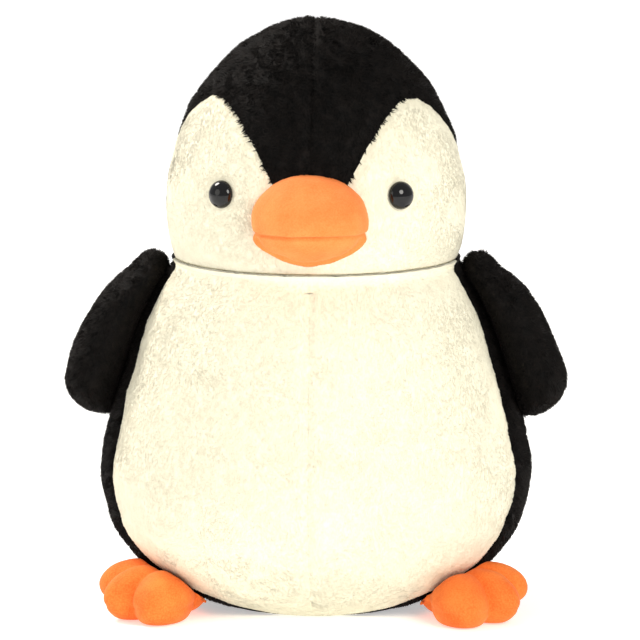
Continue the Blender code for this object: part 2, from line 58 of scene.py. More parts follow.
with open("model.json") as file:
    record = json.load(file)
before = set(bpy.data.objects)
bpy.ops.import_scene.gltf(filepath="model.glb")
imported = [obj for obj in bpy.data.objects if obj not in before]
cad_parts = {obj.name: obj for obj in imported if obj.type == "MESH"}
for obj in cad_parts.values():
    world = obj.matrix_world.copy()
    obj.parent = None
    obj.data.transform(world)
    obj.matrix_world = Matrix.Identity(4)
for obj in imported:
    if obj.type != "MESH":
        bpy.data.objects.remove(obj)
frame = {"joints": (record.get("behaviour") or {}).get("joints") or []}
JOINTS = {joint["name"]: joint for joint in frame["joints"]}
CAD_LOW, CAD_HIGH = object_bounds()
MM = 0.001

# ---- the forms' sizes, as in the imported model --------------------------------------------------
HEIGHT = CAD_HIGH.z
HEAD_WIDE_Z = 0.205
HEAD_HALF_WIDTH = 0.076
HEAD_HALF_DEPTH = 0.073
JOWL_HALF_DEPTH = 0.0755
HEAD_BOTTOM_Z = 0.158
CROWN_TAPER = 1.12
JOWL_REACH = 0.45
HEAD_PIVOT = np.array(JOINTS["head_nod"]["pos_m"])
NECK_BALL = 0.0812              # the head's underside, a ball about the pivot
NECK_CUP = 0.0820               # the hollow in the torso's top that it turns in
NECK_RIM_Z = 0.177              # where the head meets the torso
NECK_CUT_Z = 0.166

CHEEK_TURN = radians(45)
CHEEK_FRONT = [(0.0180, 0.2215), (0.0210, 0.2275), (0.0275, 0.2398), (0.0335, 0.2489), (0.0378, 0.2556),
               (0.0440, 0.2620), (0.0500, 0.2640)]
CHEEK_BACK = [(0.0250, 0.2610), (0.0370, 0.2540), (0.0490, 0.2430), (0.0590, 0.2270), (0.0645, 0.2080),
              (0.0650, 0.1850), (0.0650, 0.1200)]

BEAK_CENTRE = np.array((0.0, -0.068, 0.2057))
BEAK_HALF = np.array((0.029, 0.030, 0.0232))
MOUTH_Z = 0.2007

EYE_RADIUS = 0.0070
EYE_PROUD = 0.0052
EYE_X = 0.0450
EYE_Z = 0.2173
STEM_RADIUS = 0.0022
STEM_LENGTH = 0.0120
WASHER_RADIUS = 0.0075
WASHER_THICK = 0.0015
WASHER_DEPTH = 0.0036

TORSO_STATIONS = [
    (0.000, 0.0420), (0.005, 0.0580), (0.0176, 0.0820), (0.0307, 0.0955), (0.048, 0.1052), (0.071, 0.1093),
    (0.0965, 0.1045), (0.125, 0.0963), (0.150, 0.0875), (0.170, 0.0765), (0.182, 0.0660), (0.188, 0.0500),
    (0.190, 0.0000),
]
TORSO_TOP = TORSO_STATIONS[-1][0]
BELLY_DEPTH = 0.90
BACK_DEPTH = 0.78
BASE_RADIUS = 0.040
UNDER_BEAK = np.array((0.0, -0.077, 0.172))   # where the beak comes down when the head nods
BELLY_SEAM = [(0.000, -0.036), (0.040, -0.033), (0.086, -0.031), (0.150, -0.021), (0.190, -0.012)]

SHOULDER = Vector(JOINTS["left_wing_lift"]["pos_m"])
SHOULDER_ROUND = 0.0078
WING_TIP_Z = 0.0975
WING_CLEARANCE = 0.0007
WING_SNUG = 0.0014              # the pile on the torso and the wing presses flat by this much between them
WING_HALF_THICK = [(0.0, 0.0100), (0.1, 0.0112), (0.4, 0.0131), (0.75, 0.0144), (1.0, 0.0118)]
WING_HALF_CHORD = [(0.0, 0.0230), (0.3, 0.0290), (0.7, 0.0310), (1.0, 0.0250)]

FOOT_TURN = radians(66)
FOOT_HINGE_RADIUS = 0.0640
FOOT_HINGE_Z = 0.0035
FOOT_ROOT = 0.0030              # the foot is no thicker than this about its hinge, so that it can bend down
WADDING_FROM_HINGE = 0.0050     # the thin root holds no filling
FOOT_SEAM_Z = 0.0080
FOOT_CLEARANCE = 0.0004

TAIL_Z = 0.046
TAIL_ROOT = 0.0070
TAIL_HALF_WIDTH = 0.0190
TAIL_TIP_Y = 0.098
TAIL_HINGE_Y = JOINTS["tail_flex"]["pos_m"][1]

WADDING_SHARE = 0.3             # the most of a form's thickness that its wadding is set back by
HEAD_FABRIC_LOW_Z = 0.148       # the head's fabric ends here, inside the torso
FADE_LOW_Z, FADE_HIGH_Z = 0.150, 0.172   # over these heights the torso's swelling dies out towards the neck
EYE_SINK = 0.0013               # the eye sits this far into the pressed fabric
EYE_DIMPLE = 1.6 * MM           # the eye's stem pulls the fabric in by this much
EYE_DIMPLE_REACH = 0.0085
MOUTH_DROOP = 0.0010            # how far the mouth's ends hang below its middle
BEAK_FLATTENING = 2.0 * MM      # how much flatter the beak is below, where it nods towards the belly
BELLY_HOLLOW = 1.2 * MM         # the belly gives way by this much under the beak
BELLY_HOLLOW_REACH = 0.024
CLOTH_PRESSURE = 4.0
CLOTH_FRAMES = 20
SKIN_SWELL_SHARE = 0.6          # how much of a form's mean swelling is taken off again, to keep its size

# How a colour's pile lies: lean, clumping, and how far a tuft shows its own shape
WHITE_LIE = (0.80, 0.2, 0.08)
BLACK_LIE = (0.58, 1.1, 0.9)

SIDES = {"left": 1, "right": -1}


def linear(hex_colour):
    """An sRGB hex colour as the linear red, green and blue that shaders take."""
    parts = [int(hex_colour[i:i + 2], 16) / 255 for i in (1, 3, 5)]
    return tuple(c / 12.92 if c <= 0.04045 else ((c + 0.055) / 1.055) ** 2.4 for c in parts)


def size(name, description, default):
    return bpy.props.FloatProperty(name=name, description=description, default=default, unit="LENGTH", precision=5)


def amount(name, description, default, unit="NONE"):
    return bpy.props.FloatProperty(name=name, description=description, default=default, unit=unit)


def colour(name, description, hex_colour):
    return bpy.props.FloatVectorProperty(name=name, description=description, default=linear(hex_colour),
                                         subtype="COLOR", min=0, max=1)


class PenguinFabricSizes(bpy.types.PropertyGroup):
    black_pile: size("Black pile", "Length of the black plush's tufts", 3.0 * MM)
    white_pile: size("White pile", "Length of the white plush's tufts", 1.6 * MM)
    black_spacing: size("Black tuft spacing", "Distance between black tufts", 0.88 * MM)
    white_spacing: size("White tuft spacing", "Distance between white tufts", 0.85 * MM)
    standing: size("Standing height", "How far the pile stands out from its backing", 1.1 * MM)
    backing: size("Backing", "Thickness of the knitted backing", 1.2 * MM)
    velboa: size("Velboa", "Thickness of the beak's and feet's fabric", 1.0 * MM)
    seam_depth: size("Seam depth", "How deep a plush seam draws in", 1.3 * MM)
    seam_half_width: size("Seam half-width", "How far a seam's groove reaches to each side", 2.6 * MM)
    lumps: size("Lumps", "Height of the stuffing's soft lumps", 0.7 * MM)


class PenguinColours(bpy.types.PropertyGroup):
    # The black's deep colour is painted shade between the tufts, and its tip colour is a painted highlight on them. The
    # two are mixed in random patches.
    black_painted_shade: colour("Black, deep", "Between the black tufts", "#020202")
    black_painted_highlight: colour("Black, tips", "Where light catches the black tufts", "#171311")
    # The white's deep colour is painted shade between the tufts, mixed with the plush's own white in random patches.
    white: colour("White", "The white plush's tips", "#FFFAE2")
    white_painted_shade: colour("White, deep", "Between the white tufts", "#F6EFD6")
    # The orange's deep colour is painted shade that stands for nap brushed back, and its lit colour is painted light on
    # the nap. They are mixed in random patches.
    orange: colour("Orange", "The velboa's lit nap", "#FF8A3C")
    orange_painted_shade: colour("Orange, deep", "The velboa's brushed-back nap", "#F2691F")
    # The beak's deep colour is painted shade that stands for nap brushed the other way, mixed with its paler own colour
    # in random patches.
    beak: colour("Beak", "The beak's paler velboa", "#FF9650")
    beak_painted_shade: colour("Beak, deep", "The beak's nap brushed the other way", "#F97F38")
    filling: colour("Filling", "Polyester fibre", "#F4F3EF")
    eye: colour("Eye", "The eyes' plastic", "#060506")
    washer: colour("Washer", "The washers' natural plastic", "#D9D8D2")
    sweep: colour("Studio sweep", "The painted floor and backdrop", "#F6F6F5")


class PenguinStudio(bpy.types.PropertyGroup):
    distance: size("Camera distance", "From the camera to the toy", 3.0)
    azimuth: amount("Azimuth", "Camera's turn about the toy", radians(2.5), "ROTATION")
    elevation: amount("Elevation", "Camera's height above the horizon", radians(9), "ROTATION")
    lens: amount("Lens", "Focal length", 333, "CAMERA")
    key: amount("Key light", "Power of the main soft light", 40, "POWER")
    fill: amount("Fill light", "Power of the light on the shaded side", 9, "POWER")
    rim: amount("Rim light", "Power of the light that grazes the crown", 26, "POWER")
    sky: amount("Room light", "Brightness of the white room", 0.5)


# ---- numbers and curves ------------------------------------------------------------------------
def smooth_value(stations, t):
    """A curve through (position, value) stations, level only at its turning points, read at many places."""
    places, values = np.array(stations).T
    slopes = np.diff(values) / np.diff(places)
    product = slopes[:-1] * slopes[1:]
    total = np.where(product > 0, slopes[:-1] + slopes[1:], 1.0)
    tangents = np.concatenate([slopes[:1], np.where(product > 0, 2 * product / total, 0.0), slopes[-1:]])
    t = np.clip(t, places[0], places[-1])
    i = np.clip(np.searchsorted(places, t, side="right") - 1, 0, len(places) - 2)
    width = places[i + 1] - places[i]
    u = (t - places[i]) / width
    start = (1 + 2 * u) * (1 - u) ** 2 * values[i] + u * (1 - u) ** 2 * width * tangents[i]
    return start + u * u * (3 - 2 * u) * values[i + 1] + u * u * (u - 1) * width * tangents[i + 1]


def smooth_step(value, low, high):
    t = np.clip((value - low) / (high - low), 0.0, 1.0)
    return t * t * (3 - 2 * t)


def soft_max(a, b, blend):
    return 0.5 * (a + b + np.sqrt((a - b) ** 2 + blend ** 2))


def unit(vectors):
    return vectors / np.maximum(np.linalg.norm(vectors, axis=-1, keepdims=True), 1e-12)


def waves(points, wavelength, seed, count=9):
    """Smooth noise from -1 to 1: a sum of plane waves in random directions, none from a texture."""
    draw = np.random.default_rng(seed)
    direction = unit(draw.normal(size=(count, 3))) * 2 * pi / (wavelength * draw.uniform(0.7, 1.5, (count, 1)))
    phase = draw.uniform(0, 2 * pi, count)
    return np.sin(points @ direction.T + phase).sum(axis=1) / sqrt(count) / 1.2


def wave_vectors(points, wavelength, seed):
    return np.stack([waves(points, wavelength, seed + axis) for axis in range(3)], axis=1)


def curve_through(points, steps):
    """A smooth line through outline points, as many short steps."""
    points = np.array(points)
    padded = np.vstack([2 * points[0] - points[1], points, 2 * points[-1] - points[-2]])
    line = []
    for a, b, c, d in zip(padded, padded[1:], padded[2:], padded[3:]):
        t = np.linspace(0, 1, steps, endpoint=False)[:, None]
        line.append(0.5 * (2 * b + (c - a) * t + (2 * a - 5 * b + 4 * c - d) * t ** 2
                           + (3 * b - a - 3 * c + d) * t ** 3))
    return np.vstack([*line, points[-1:]])


def outline_distance(flat, outline):
    """Distance from points of a plane to a closed outline, positive inside it."""
    nearest = np.full(len(flat), 1e9)
    inside = np.zeros(len(flat), dtype=bool)
    for a, b in zip(outline, np.roll(outline, -1, axis=0)):
        along = b - a
        share = np.clip(((flat - a) @ along) / (along @ along), 0, 1)[:, None]
        nearest = np.minimum(nearest, np.linalg.norm(flat - a - share * along, axis=1))
        spans = (a[1] > flat[:, 1]) != (b[1] > flat[:, 1])
        if abs(along[1]) > 1e-9:
            crossing = a[0] + (flat[:, 1] - a[1]) * along[0] / along[1]
            inside ^= spans & (flat[:, 0] < crossing)
    return np.where(inside, nearest, -nearest)


# ---- surfaces ----------------------------------------------------------------------------------
def ball_directions(cells):
    """Even directions all round: a cube's six grids, drawn on to a ball, and their triangles."""
    grid = np.tan(np.linspace(-1, 1, cells + 1) * pi / 4)
    u, v = np.meshgrid(grid, grid, indexing="ij")
    one = np.ones_like(u)
    faces = [(one, u, v), (-one, v, u), (v, one, u), (u, -one, v), (u, v, one), (v, u, -one)]
    points = unit(np.concatenate([np.stack(face, axis=-1).reshape(-1, 3) for face in faces]))
    row = np.arange(cells)[:, None] * (cells + 1) + np.arange(cells)[None, :]
    corner = row.ravel()
    quads = np.stack([corner, corner + cells + 1, corner + cells + 2, corner + 1], axis=1)
    quads = np.concatenate([quads + i * (cells + 1) ** 2 for i in range(6)])
    _, first, again = np.unique(np.round(points, 6), axis=0, return_index=True, return_inverse=True)
    quads = again.reshape(-1)[quads]
    even = (quads.sum(axis=1) % 2 == 0)[:, None]
    one_way = np.concatenate([quads[:, [0, 1, 2]], quads[:, [0, 2, 3]]])
    other_way = np.concatenate([quads[:, [0, 1, 3]], quads[:, [1, 2, 3]]])
    return points[first], np.where(np.concatenate([even, even]), one_way, other_way)


def point_normals(points, triangles):
    a, b, c = (points[triangles[:, i]] for i in range(3))
    facing = np.cross(b - a, c - a)
    total = np.stack([np.bincount(triangles.ravel(), np.repeat(facing[:, axis], 3), len(points))
                      for axis in range(3)], axis=1)
    return unit(total)


class Surface:
    """A closed form as points and triangles, with named values at its points, such as seam distances."""

    def __init__(self, points, triangles):
        self.points, self.triangles, self.fields = points, triangles, {}
        a, b, c = (points[triangles[:, i]] for i in range(3))
        if np.einsum("ij,ij->", a, np.cross(b, c)) < 0:
            self.triangles = triangles[:, ::-1]

    def normals(self):
        return point_normals(self.points, self.triangles)

    def smooth(self, values, rounds):
        """Even out values at the points by averaging them with their neighbours."""
        edges = np.concatenate([self.triangles[:, [0, 1]], self.triangles[:, [1, 2]], self.triangles[:, [2, 0]]])
        number = np.bincount(edges[:, 0], minlength=len(self.points)).astype(float)
        for _ in range(rounds):
            around = np.bincount(edges[:, 0], values[edges[:, 1]], len(self.points)) / number
            values = 0.5 * values + 0.5 * around
        return values

    def cut(self, name):
        """Split the triangles that a field's zero line crosses, so that the line runs along edges."""
        value = self.fields[name]
        value[np.abs(value) < 1e-6] = 1e-6
        above = value > 0
        triangles = self.triangles
        edges = np.sort(np.concatenate([triangles[:, [0, 1]], triangles[:, [1, 2]], triangles[:, [2, 0]]]), axis=1)
        pairs, place = np.unique(edges, axis=0, return_inverse=True)
        crossed = above[pairs[:, 0]] != above[pairs[:, 1]]
        middle = np.full(len(pairs), -1)
        middle[crossed] = len(self.points) + np.arange(crossed.sum())
        a, b = pairs[crossed].T
        share = value[a] / (value[a] - value[b])
        self.points = np.vstack([self.points, self.points[a] + share[:, None] * (self.points[b] - self.points[a])])
        for key, field in self.fields.items():
            self.fields[key] = np.concatenate([field, field[a] + share * (field[b] - field[a])])
        self.fields[name][-len(a):] = 0.0
        corner = middle[place.reshape(-1)].reshape(3, -1).T
        pieces = [triangles[(corner < 0).all(axis=1)]]
        for i in range(3):
            split = (corner[:, i] >= 0) & (corner[:, i - 1] >= 0)
            alone, after, last = (triangles[split, (i + k) % 3] for k in range(3))
            p, q = corner[split, i], corner[split, i - 1]
            pieces += [np.stack(t, axis=1) for t in ((alone, p, q), (p, after, last), (p, last, q))]
        self.triangles = np.concatenate(pieces)

    def side(self, name):
        """For each triangle, the sign of a field that has been cut along."""
        return np.sign(self.fields[name][self.triangles].sum(axis=1))

    def panel(self, keep):
        """The points, normals, triangles and tuft growth of the triangles that keep marks."""
        kept = self.triangles[keep]
        used, triangles = np.unique(kept, return_inverse=True)
        growth = self.fields.get("growth", np.ones(len(self.points)))
        return self.points[used], self.normals()[used], triangles.reshape(-1, 3), growth[used]


def head_form(way):
    """The head: an egg widest at the jowls, whose underside is a ball about the neck joint."""
    up = way[:, 2]
    above = up >= 0
    across = np.where(above, np.maximum(0.0, 1 - up ** 2) ** (CROWN_TAPER / 2),
                      np.maximum(0.0, 1 + np.minimum(up, 0) ** 3) ** (1 / 3))
    reach = np.where(above, HEIGHT - HEAD_WIDE_Z, HEAD_WIDE_Z - HEAD_BOTTOM_Z)
    fullness = np.clip(-up / JOWL_REACH, 0.0, 1.0)
    depth = HEAD_HALF_DEPTH + (JOWL_HALF_DEPTH - HEAD_HALF_DEPTH) * fullness
    plan = unit(way[:, :2])
    points = np.stack([HEAD_HALF_WIDTH * across * plan[:, 0], depth * across * plan[:, 1],
                       HEAD_WIDE_Z + reach * up], axis=1)
    away = points - HEAD_PIVOT
    distance = np.linalg.norm(away, axis=1)
    in_cup = smooth_step(-points[:, 2], -NECK_RIM_Z - 0.006, -NECK_RIM_Z + 0.004)
    lifted = distance + in_cup * (soft_max(distance, NECK_BALL, 0.0006) - distance)
    return HEAD_PIVOT + away * (lifted / distance)[:, None]


def cheek_across(x, z):
    """Across the cheek's own view, where the point of the face at x and z lies."""
    across = cos(asin((z - HEAD_WIDE_Z) / (HEIGHT - HEAD_WIDE_Z))) ** CROWN_TAPER
    y = -HEAD_HALF_DEPTH * sqrt(max(0.0, across ** 2 - (x / HEAD_HALF_WIDTH) ** 2))
    return x * cos(CHEEK_TURN) + y * sin(CHEEK_TURN)


def cheek_distance(points):
    """Distance inside a cheek's white panel, in the view along CHEEK_TURN."""
    arch = curve_through([(cheek_across(x, z), z) for x, z in CHEEK_FRONT] + CHEEK_BACK, 6)
    outline = np.vstack([[(-0.075, 0.120), (-0.075, CHEEK_FRONT[0][1])], arch])
    x = np.abs(points[:, 0])
    across = x * cos(CHEEK_TURN) + points[:, 1] * sin(CHEEK_TURN)
    behind = -x * sin(CHEEK_TURN) + points[:, 1] * cos(CHEEK_TURN)
    return np.minimum(outline_distance(np.stack([across, points[:, 2]], axis=1), outline), -behind)


def torso_form(way):
    """The pear-shaped body, flat below, with the neck's hollow at the top."""
    heights = TORSO_TOP * (0.5 - 0.5 * np.cos(np.linspace(0, pi, 241)))
    radii = np.concatenate([[0.0], smooth_value(TORSO_STATIONS, heights)])
    heights = np.concatenate([[0.0], heights])
    length = np.concatenate([[0.0], np.cumsum(np.hypot(np.diff(radii), np.diff(heights)))])
    place = (0.5 + np.arcsin(np.clip(way[:, 2], -1, 1)) / pi) * length[-1]
    radius, z = np.interp(place, length, radii), np.interp(place, length, heights)
    towards_neck = np.clip((z - 0.075) / 0.105, 0.0, 1.0) ** 1.3
    share = np.where(way[:, 1] < 0, BELLY_DEPTH, BACK_DEPTH)
    depth = radius * (share + (1 - share) * towards_neck)
    plan = unit(way[:, :2])
    points = np.stack([radius * plan[:, 0], depth * plan[:, 1], z], axis=1)
    away = points - HEAD_PIVOT
    distance = np.linalg.norm(away, axis=1)
    return HEAD_PIVOT + away * (soft_max(distance, NECK_CUP, 0.0008) / distance)[:, None]


def beak_form(way):
    points = BEAK_CENTRE + BEAK_HALF * way
    jaw = smooth_step(-way[:, 2], 0.15, 0.6) * smooth_step(-way[:, 1], 0.0, 0.7)
    points[:, 1] += 0.0022 * jaw                   # the lower jaw ends a little behind the upper
    return points


def wing_form(way, side):
    along = 0.5 - 0.5 * way[:, 2]
    top = SHOULDER.z + SHOULDER_ROUND
    z = top + (WING_TIP_Z - top) * along
    above_seam = z - SHOULDER.z
    round_x = SHOULDER.x - np.sqrt(np.maximum(0.0, SHOULDER_ROUND ** 2 - above_seam ** 2))
    inner_x = np.where(above_seam > 0, round_x, smooth_value(TORSO_STATIONS, z) + WING_CLEARANCE)
    inner_x = np.maximum(inner_x, SHOULDER.x - SHOULDER_ROUND)
    taper = np.sqrt(np.maximum(0.0, 1 - np.abs(1 - 2 * along) ** 4))
    thickness = 2 * smooth_value(WING_HALF_THICK, along) * taper
    plan = unit(way[:, :2])
    y = smooth_value(WING_HALF_CHORD, along) * taper * plan[:, 1]
    return np.stack([side * (inner_x + thickness * (0.5 + 0.5 * plan[:, 0])), y, z], axis=1)


def torso_underside(x, y):
    """The height of the torso's lower surface above points of the floor."""
    heights = np.linspace(0, 0.071, 60)
    half_width = np.hypot(x, y / np.where(y < 0, BELLY_DEPTH, BACK_DEPTH))
    return np.interp(half_width, smooth_value(TORSO_STATIONS, heights), heights)


# Each toe: turn from the foot's middle line towards the toy's front, tip distance, half-width, half-height
# and how far its middle is lifted
TOES = [(radians(52), 0.0425, 0.0145, 0.0150, 0.0), (radians(15), 0.0425, 0.0122, 0.0145, 0.0015),
        (radians(-18), 0.0385, 0.0125, 0.0128, 0.0050)]
FOOT_MIDDLE = 0.0125            # from the hinge to where the toes spring from
FOOT_MIDDLE_Z = 0.0105
INSTEP = (0.0145, 0.0150, 0.0115)   # half-sizes of the foot behind its toes: outward, across, up


def foot_axes(side):
    outward = np.array((side * sin(FOOT_TURN), -cos(FOOT_TURN), 0.0))
    forward = np.array((-side * cos(FOOT_TURN), -sin(FOOT_TURN), 0.0))
    return outward, forward


def ball_reach(way, centre, half):
    """How far a ray from the origin runs before it leaves an ellipsoid that holds the origin."""
    d, c = way / half, centre / half
    a, b, k = (d * d).sum(axis=1), -(d * c).sum(axis=1), (c * c).sum() - 1
    return (-b + np.sqrt(np.maximum(0.0, b * b - a * k))) / a


def foot_form(way, side):
    """Three overlapping bulbs and an instep; the sole is flat and the top tucks under the torso."""
    outward, forward = foot_axes(side)
    local = np.stack([way @ outward, way @ forward, way[:, 2]], axis=1)
    reach = ball_reach(local, np.array((-0.002, 0.0, 0.001)), np.array(INSTEP))
    for turn, tip, half_width, half_height, lift in TOES:
        turned = np.stack([local[:, 0] * cos(turn) + local[:, 1] * sin(turn),
                           local[:, 1] * cos(turn) - local[:, 0] * sin(turn), local[:, 2]], axis=1)
        bulb = ball_reach(turned, np.array((tip * 0.45, 0.0, lift)),
                          np.array((tip * 0.55, half_width, half_height)))
        reach = soft_max(reach, bulb, 0.0005)
    start = outward * (FOOT_HINGE_RADIUS + FOOT_MIDDLE) + np.array((0.0, 0.0, FOOT_MIDDLE_Z))
    points = start + way * reach[:, None]
    points[:, 2] = soft_max(points[:, 2], 0.0004, 0.0010) - 0.0002
    past_hinge = points @ outward - FOOT_HINGE_RADIUS
    behind = 0.9 * FOOT_ROOT * (1 - np.exp(np.minimum(past_hinge, 0.0) / FOOT_ROOT))
    points += outward * np.maximum(0.0, -behind - past_hinge)[:, None]
    root_top = FOOT_HINGE_Z + np.sqrt(FOOT_ROOT ** 2 - behind ** 2) + np.maximum(0.0, past_hinge)
    roof = np.minimum(torso_underside(points[:, 0], points[:, 1]) - FOOT_CLEARANCE, root_top)
    points[:, 2] = np.maximum(0.0002, -soft_max(-points[:, 2], -roof, 0.0012))
    return points


def tail_form(way):
    along = 0.5 + 0.5 * way[:, 2]
    across = np.sqrt(np.maximum(0.0, 1 - way[:, 2] ** 2))
    plan = unit(way[:, :2])
    start = TAIL_HINGE_Y - TAIL_ROOT
    width = TAIL_HALF_WIDTH * (1 - 0.35 * along) * across ** 0.7
    height = TAIL_ROOT * (1 - 0.25 * along) * across ** 0.8
    return np.stack([width * plan[:, 0], start + (TAIL_TIP_Y - start) * along,
                     TAIL_Z - 0.004 * along + height * plan[:, 1]], axis=1)


# ---- stuffing a form ---------------------------------------------------------------------------
def stuffed(surface, seam_distance, cap, cell=0.005):
    """How far each point of a closed form swells when its cover is blown up as cloth held at its seams."""
    scene = bpy.context.scene
    cover = add_mesh("cover_under_pressure", surface.points - surface.normals() * 0.001, surface.triangles)
    remesh = cover.modifiers.new("Even cells", "REMESH")
    remesh.mode = "VOXEL"
    remesh.voxel_size = cell
    even = bpy.data.meshes.new_from_object(cover.evaluated_get(bpy.context.evaluated_depsgraph_get()))
    cover.modifiers.clear()
    cover.data = even
    before = read_points(even)
    normals = np.array([vertex.normal for vertex in even.vertices])

    tree = point_tree(surface.points)
    held = cover.vertex_groups.new(name="sewn")
    for i, point in enumerate(before):
        if seam_distance[tree.find(point)[1]] < cell * 0.7:
            held.add([i], 1.0, "REPLACE")
    cloth = cover.modifiers.new("Fabric", "CLOTH")
    cloth.settings.quality = 4
    cloth.settings.mass = 0.3
    cloth.settings.use_pressure = True
    cloth.settings.uniform_pressure_force = CLOTH_PRESSURE
    cloth.settings.vertex_group_mass = held.name
    cloth.settings.effector_weights.gravity = 0
    cloth.point_cache.frame_start, cloth.point_cache.frame_end = 1, CLOTH_FRAMES
    for number in range(1, CLOTH_FRAMES + 1):
        scene.frame_set(number)
    blown = cover.evaluated_get(bpy.context.evaluated_depsgraph_get())
    after = read_points(blown.data)
    scene.frame_set(1)
    bpy.data.objects.remove(cover, do_unlink=True)
    swell = np.clip(((after - before) * normals).sum(axis=1), -cap, cap)

    tree = point_tree(before)
    out = np.empty(len(surface.points))
    for i, point in enumerate(surface.points):
        near = tree.find_n(point, 5)
        weights = [1 / (distance ** 2 + 1e-7) for _, _, distance in near]
        out[i] = sum(w * swell[index] for w, (_, index, _) in zip(weights, near)) / sum(weights)
    out = surface.smooth(out, 6)
    return out - out.mean() * SKIN_SWELL_SHARE


def point_tree(points):
    tree = KDTree(len(points))
    for i, point in enumerate(points):
        tree.insert(point, i)
    tree.balance()
    return tree


def read_points(mesh):
    flat = np.empty(len(mesh.vertices) * 3, dtype=np.float32)
    mesh.vertices.foreach_get("co", flat)
    return flat.reshape(-1, 3).astype(float)


def add_mesh(name, points, triangles, normals=None, material=None):
    """A new object from points and triangles, shaded smooth, with its own normals where they are given."""
    mesh = bpy.data.meshes.new(name)
    mesh.vertices.add(len(points))
    mesh.vertices.foreach_set("co", np.asarray(points, dtype=np.float32).ravel())
    mesh.loops.add(len(triangles) * 3)
    mesh.loops.foreach_set("vertex_index", np.asarray(triangles, dtype=np.int32).ravel())
    mesh.polygons.add(len(triangles))
    mesh.polygons.foreach_set("loop_start", np.arange(0, len(triangles) * 3, 3, dtype=np.int32))
    mesh.update(calc_edges=True)
    mesh.shade_smooth()
    if normals is not None:
        mesh.normals_split_custom_set_from_vertices(normals.tolist())
    if material is not None:
        mesh.materials.append(material)
    piece = bpy.data.objects.new(name, mesh)
    bpy.context.scene.collection.objects.link(piece)
    return piece


# ---- fabric ------------------------------------------------------------------------------------
def shell(points, normals, triangles, thickness):
    """A panel as a closed thin sheet: its face, its back and the raw edge between them."""
    count = len(points)
    edges = np.concatenate([triangles[:, [0, 1]], triangles[:, [1, 2]], triangles[:, [2, 0]]])
    key = np.sort(edges, axis=1)
    _, first, number = np.unique(key, axis=0, return_index=True, return_counts=True)
    rim = edges[first[number == 1]]
    walls = np.concatenate([np.stack([rim[:, 1], rim[:, 0], rim[:, 0] + count], axis=1),
                            np.stack([rim[:, 1], rim[:, 0] + count, rim[:, 1] + count], axis=1)])
    back = triangles[:, ::-1] + count
    return (np.vstack([points, points - normals * np.reshape(thickness, (-1, 1))]), np.vstack([normals, -normals]),
            np.concatenate([triangles, back, walls]))


def pile(points, normals, triangles, growth, spacing, length, lean, clump, own_shape, seed):
    """Tufts on a panel: thin closed spikes that lie downward, drawn together into clumps.

    own_shape is how much of a tuft's own roundness its shading shows, against the fabric's as a whole."""
    draw = np.random.default_rng(seed)
    a, b, c = (points[triangles[:, i]] for i in range(3))
    area = 0.5 * np.linalg.norm(np.cross(b - a, c - a), axis=1) * (growth[triangles].mean(axis=1) > 0.05)
    number = int(area.sum() / spacing ** 2)
    chosen = draw.choice(len(triangles), number, p=area / area.sum())
    u, v = draw.uniform(size=(2, number, 1))
    over = (u + v) > 1
    u, v = np.where(over, 1 - u, u), np.where(over, 1 - v, v)
    shares = np.concatenate([1 - u - v, u, v], axis=1)[:, :, None]
    corners = triangles[chosen]
    root = (points[corners] * shares).sum(axis=1)
    normal = unit((normals[corners] * shares).sum(axis=1))
    tall = (growth[corners] * shares[:, :, 0]).sum(axis=1) * length * draw.uniform(0.7, 1.15, number)

    flow = np.array((0.0, 0.25, -1.0)) + clump * wave_vectors(root, 0.006, seed + 11)
    flow += 0.55 * wave_vectors(root, 0.025, seed + 23) + draw.normal(scale=0.28, size=(number, 3))
    flow -= (flow * normal).sum(axis=1, keepdims=True) * normal
    way = unit(unit(flow) * lean + normal * (1 - lean))
    tip = root + way * tall[:, None]
    tip[:, 2] = np.maximum(tip[:, 2], 0.0003)

    first = unit(np.cross(way, np.roll(way, 1, axis=1) + (0.3, 0.1, 0.2)))
    second = np.cross(way, first)
    width = spacing * draw.uniform(0.42, 0.62, (number, 1))
    rings = []
    for k in range(3):
        outward = cos(2 * pi * k / 3) * first + sin(2 * pi * k / 3) * second
        foot = root - normal * 0.0002 + outward * width
        foot[:, 2] = np.maximum(foot[:, 2], 0.0001)
        rings.append((foot, unit(normal + own_shape * outward)))
    rings.append((tip, unit(normal + own_shape * 0.6 * way)))
    tuft_points = np.stack([p for p, _ in rings], axis=1).reshape(-1, 3)
    tuft_normals = np.stack([n for _, n in rings], axis=1).reshape(-1, 3)
    base = np.arange(number)[:, None] * 4
    sides = [base + corner for corner in ((0, 1, 3), (1, 2, 3), (2, 0, 3), (0, 2, 1))]
    return tuft_points, tuft_normals, np.concatenate(sides)


def plush_panel(name, body, surface, keep, white, sizes, colours, seed):
    """A panel's backing and its pile, as one piece."""
    points, normals, triangles, growth = surface.panel(keep)
    material = cream_polyester_plush(colours) if white else black_acrylic_plush(colours)
    length, spacing = (sizes.white_pile, sizes.white_spacing) if white else (sizes.black_pile, sizes.black_spacing)
    lie = WHITE_LIE if white else BLACK_LIE
    parts = [shell(points, normals, triangles, sizes.backing),
             pile(points, normals, triangles, growth, spacing, length, *lie, seed)]
    offsets = (0, len(parts[0][0]))
    piece = add_mesh(name, np.vstack([p for p, _, _ in parts]),
                     np.concatenate([t + offset for (_, _, t), offset in zip(parts, offsets)]),
                     np.vstack([n for _, n, _ in parts]), material)
    set_down(piece, body, [f"{name}_panel"])


def velboa_panel(name, body, surface, keep, material, sizes):
    points, normals, triangles, growth = surface.panel(keep)
    all_points, all_normals, all_triangles = shell(points, normals, triangles, sizes.velboa * growth)
    piece = add_mesh(name, all_points, all_triangles, all_normals, material)
    set_down(piece, body, [f"{name}_panel"])


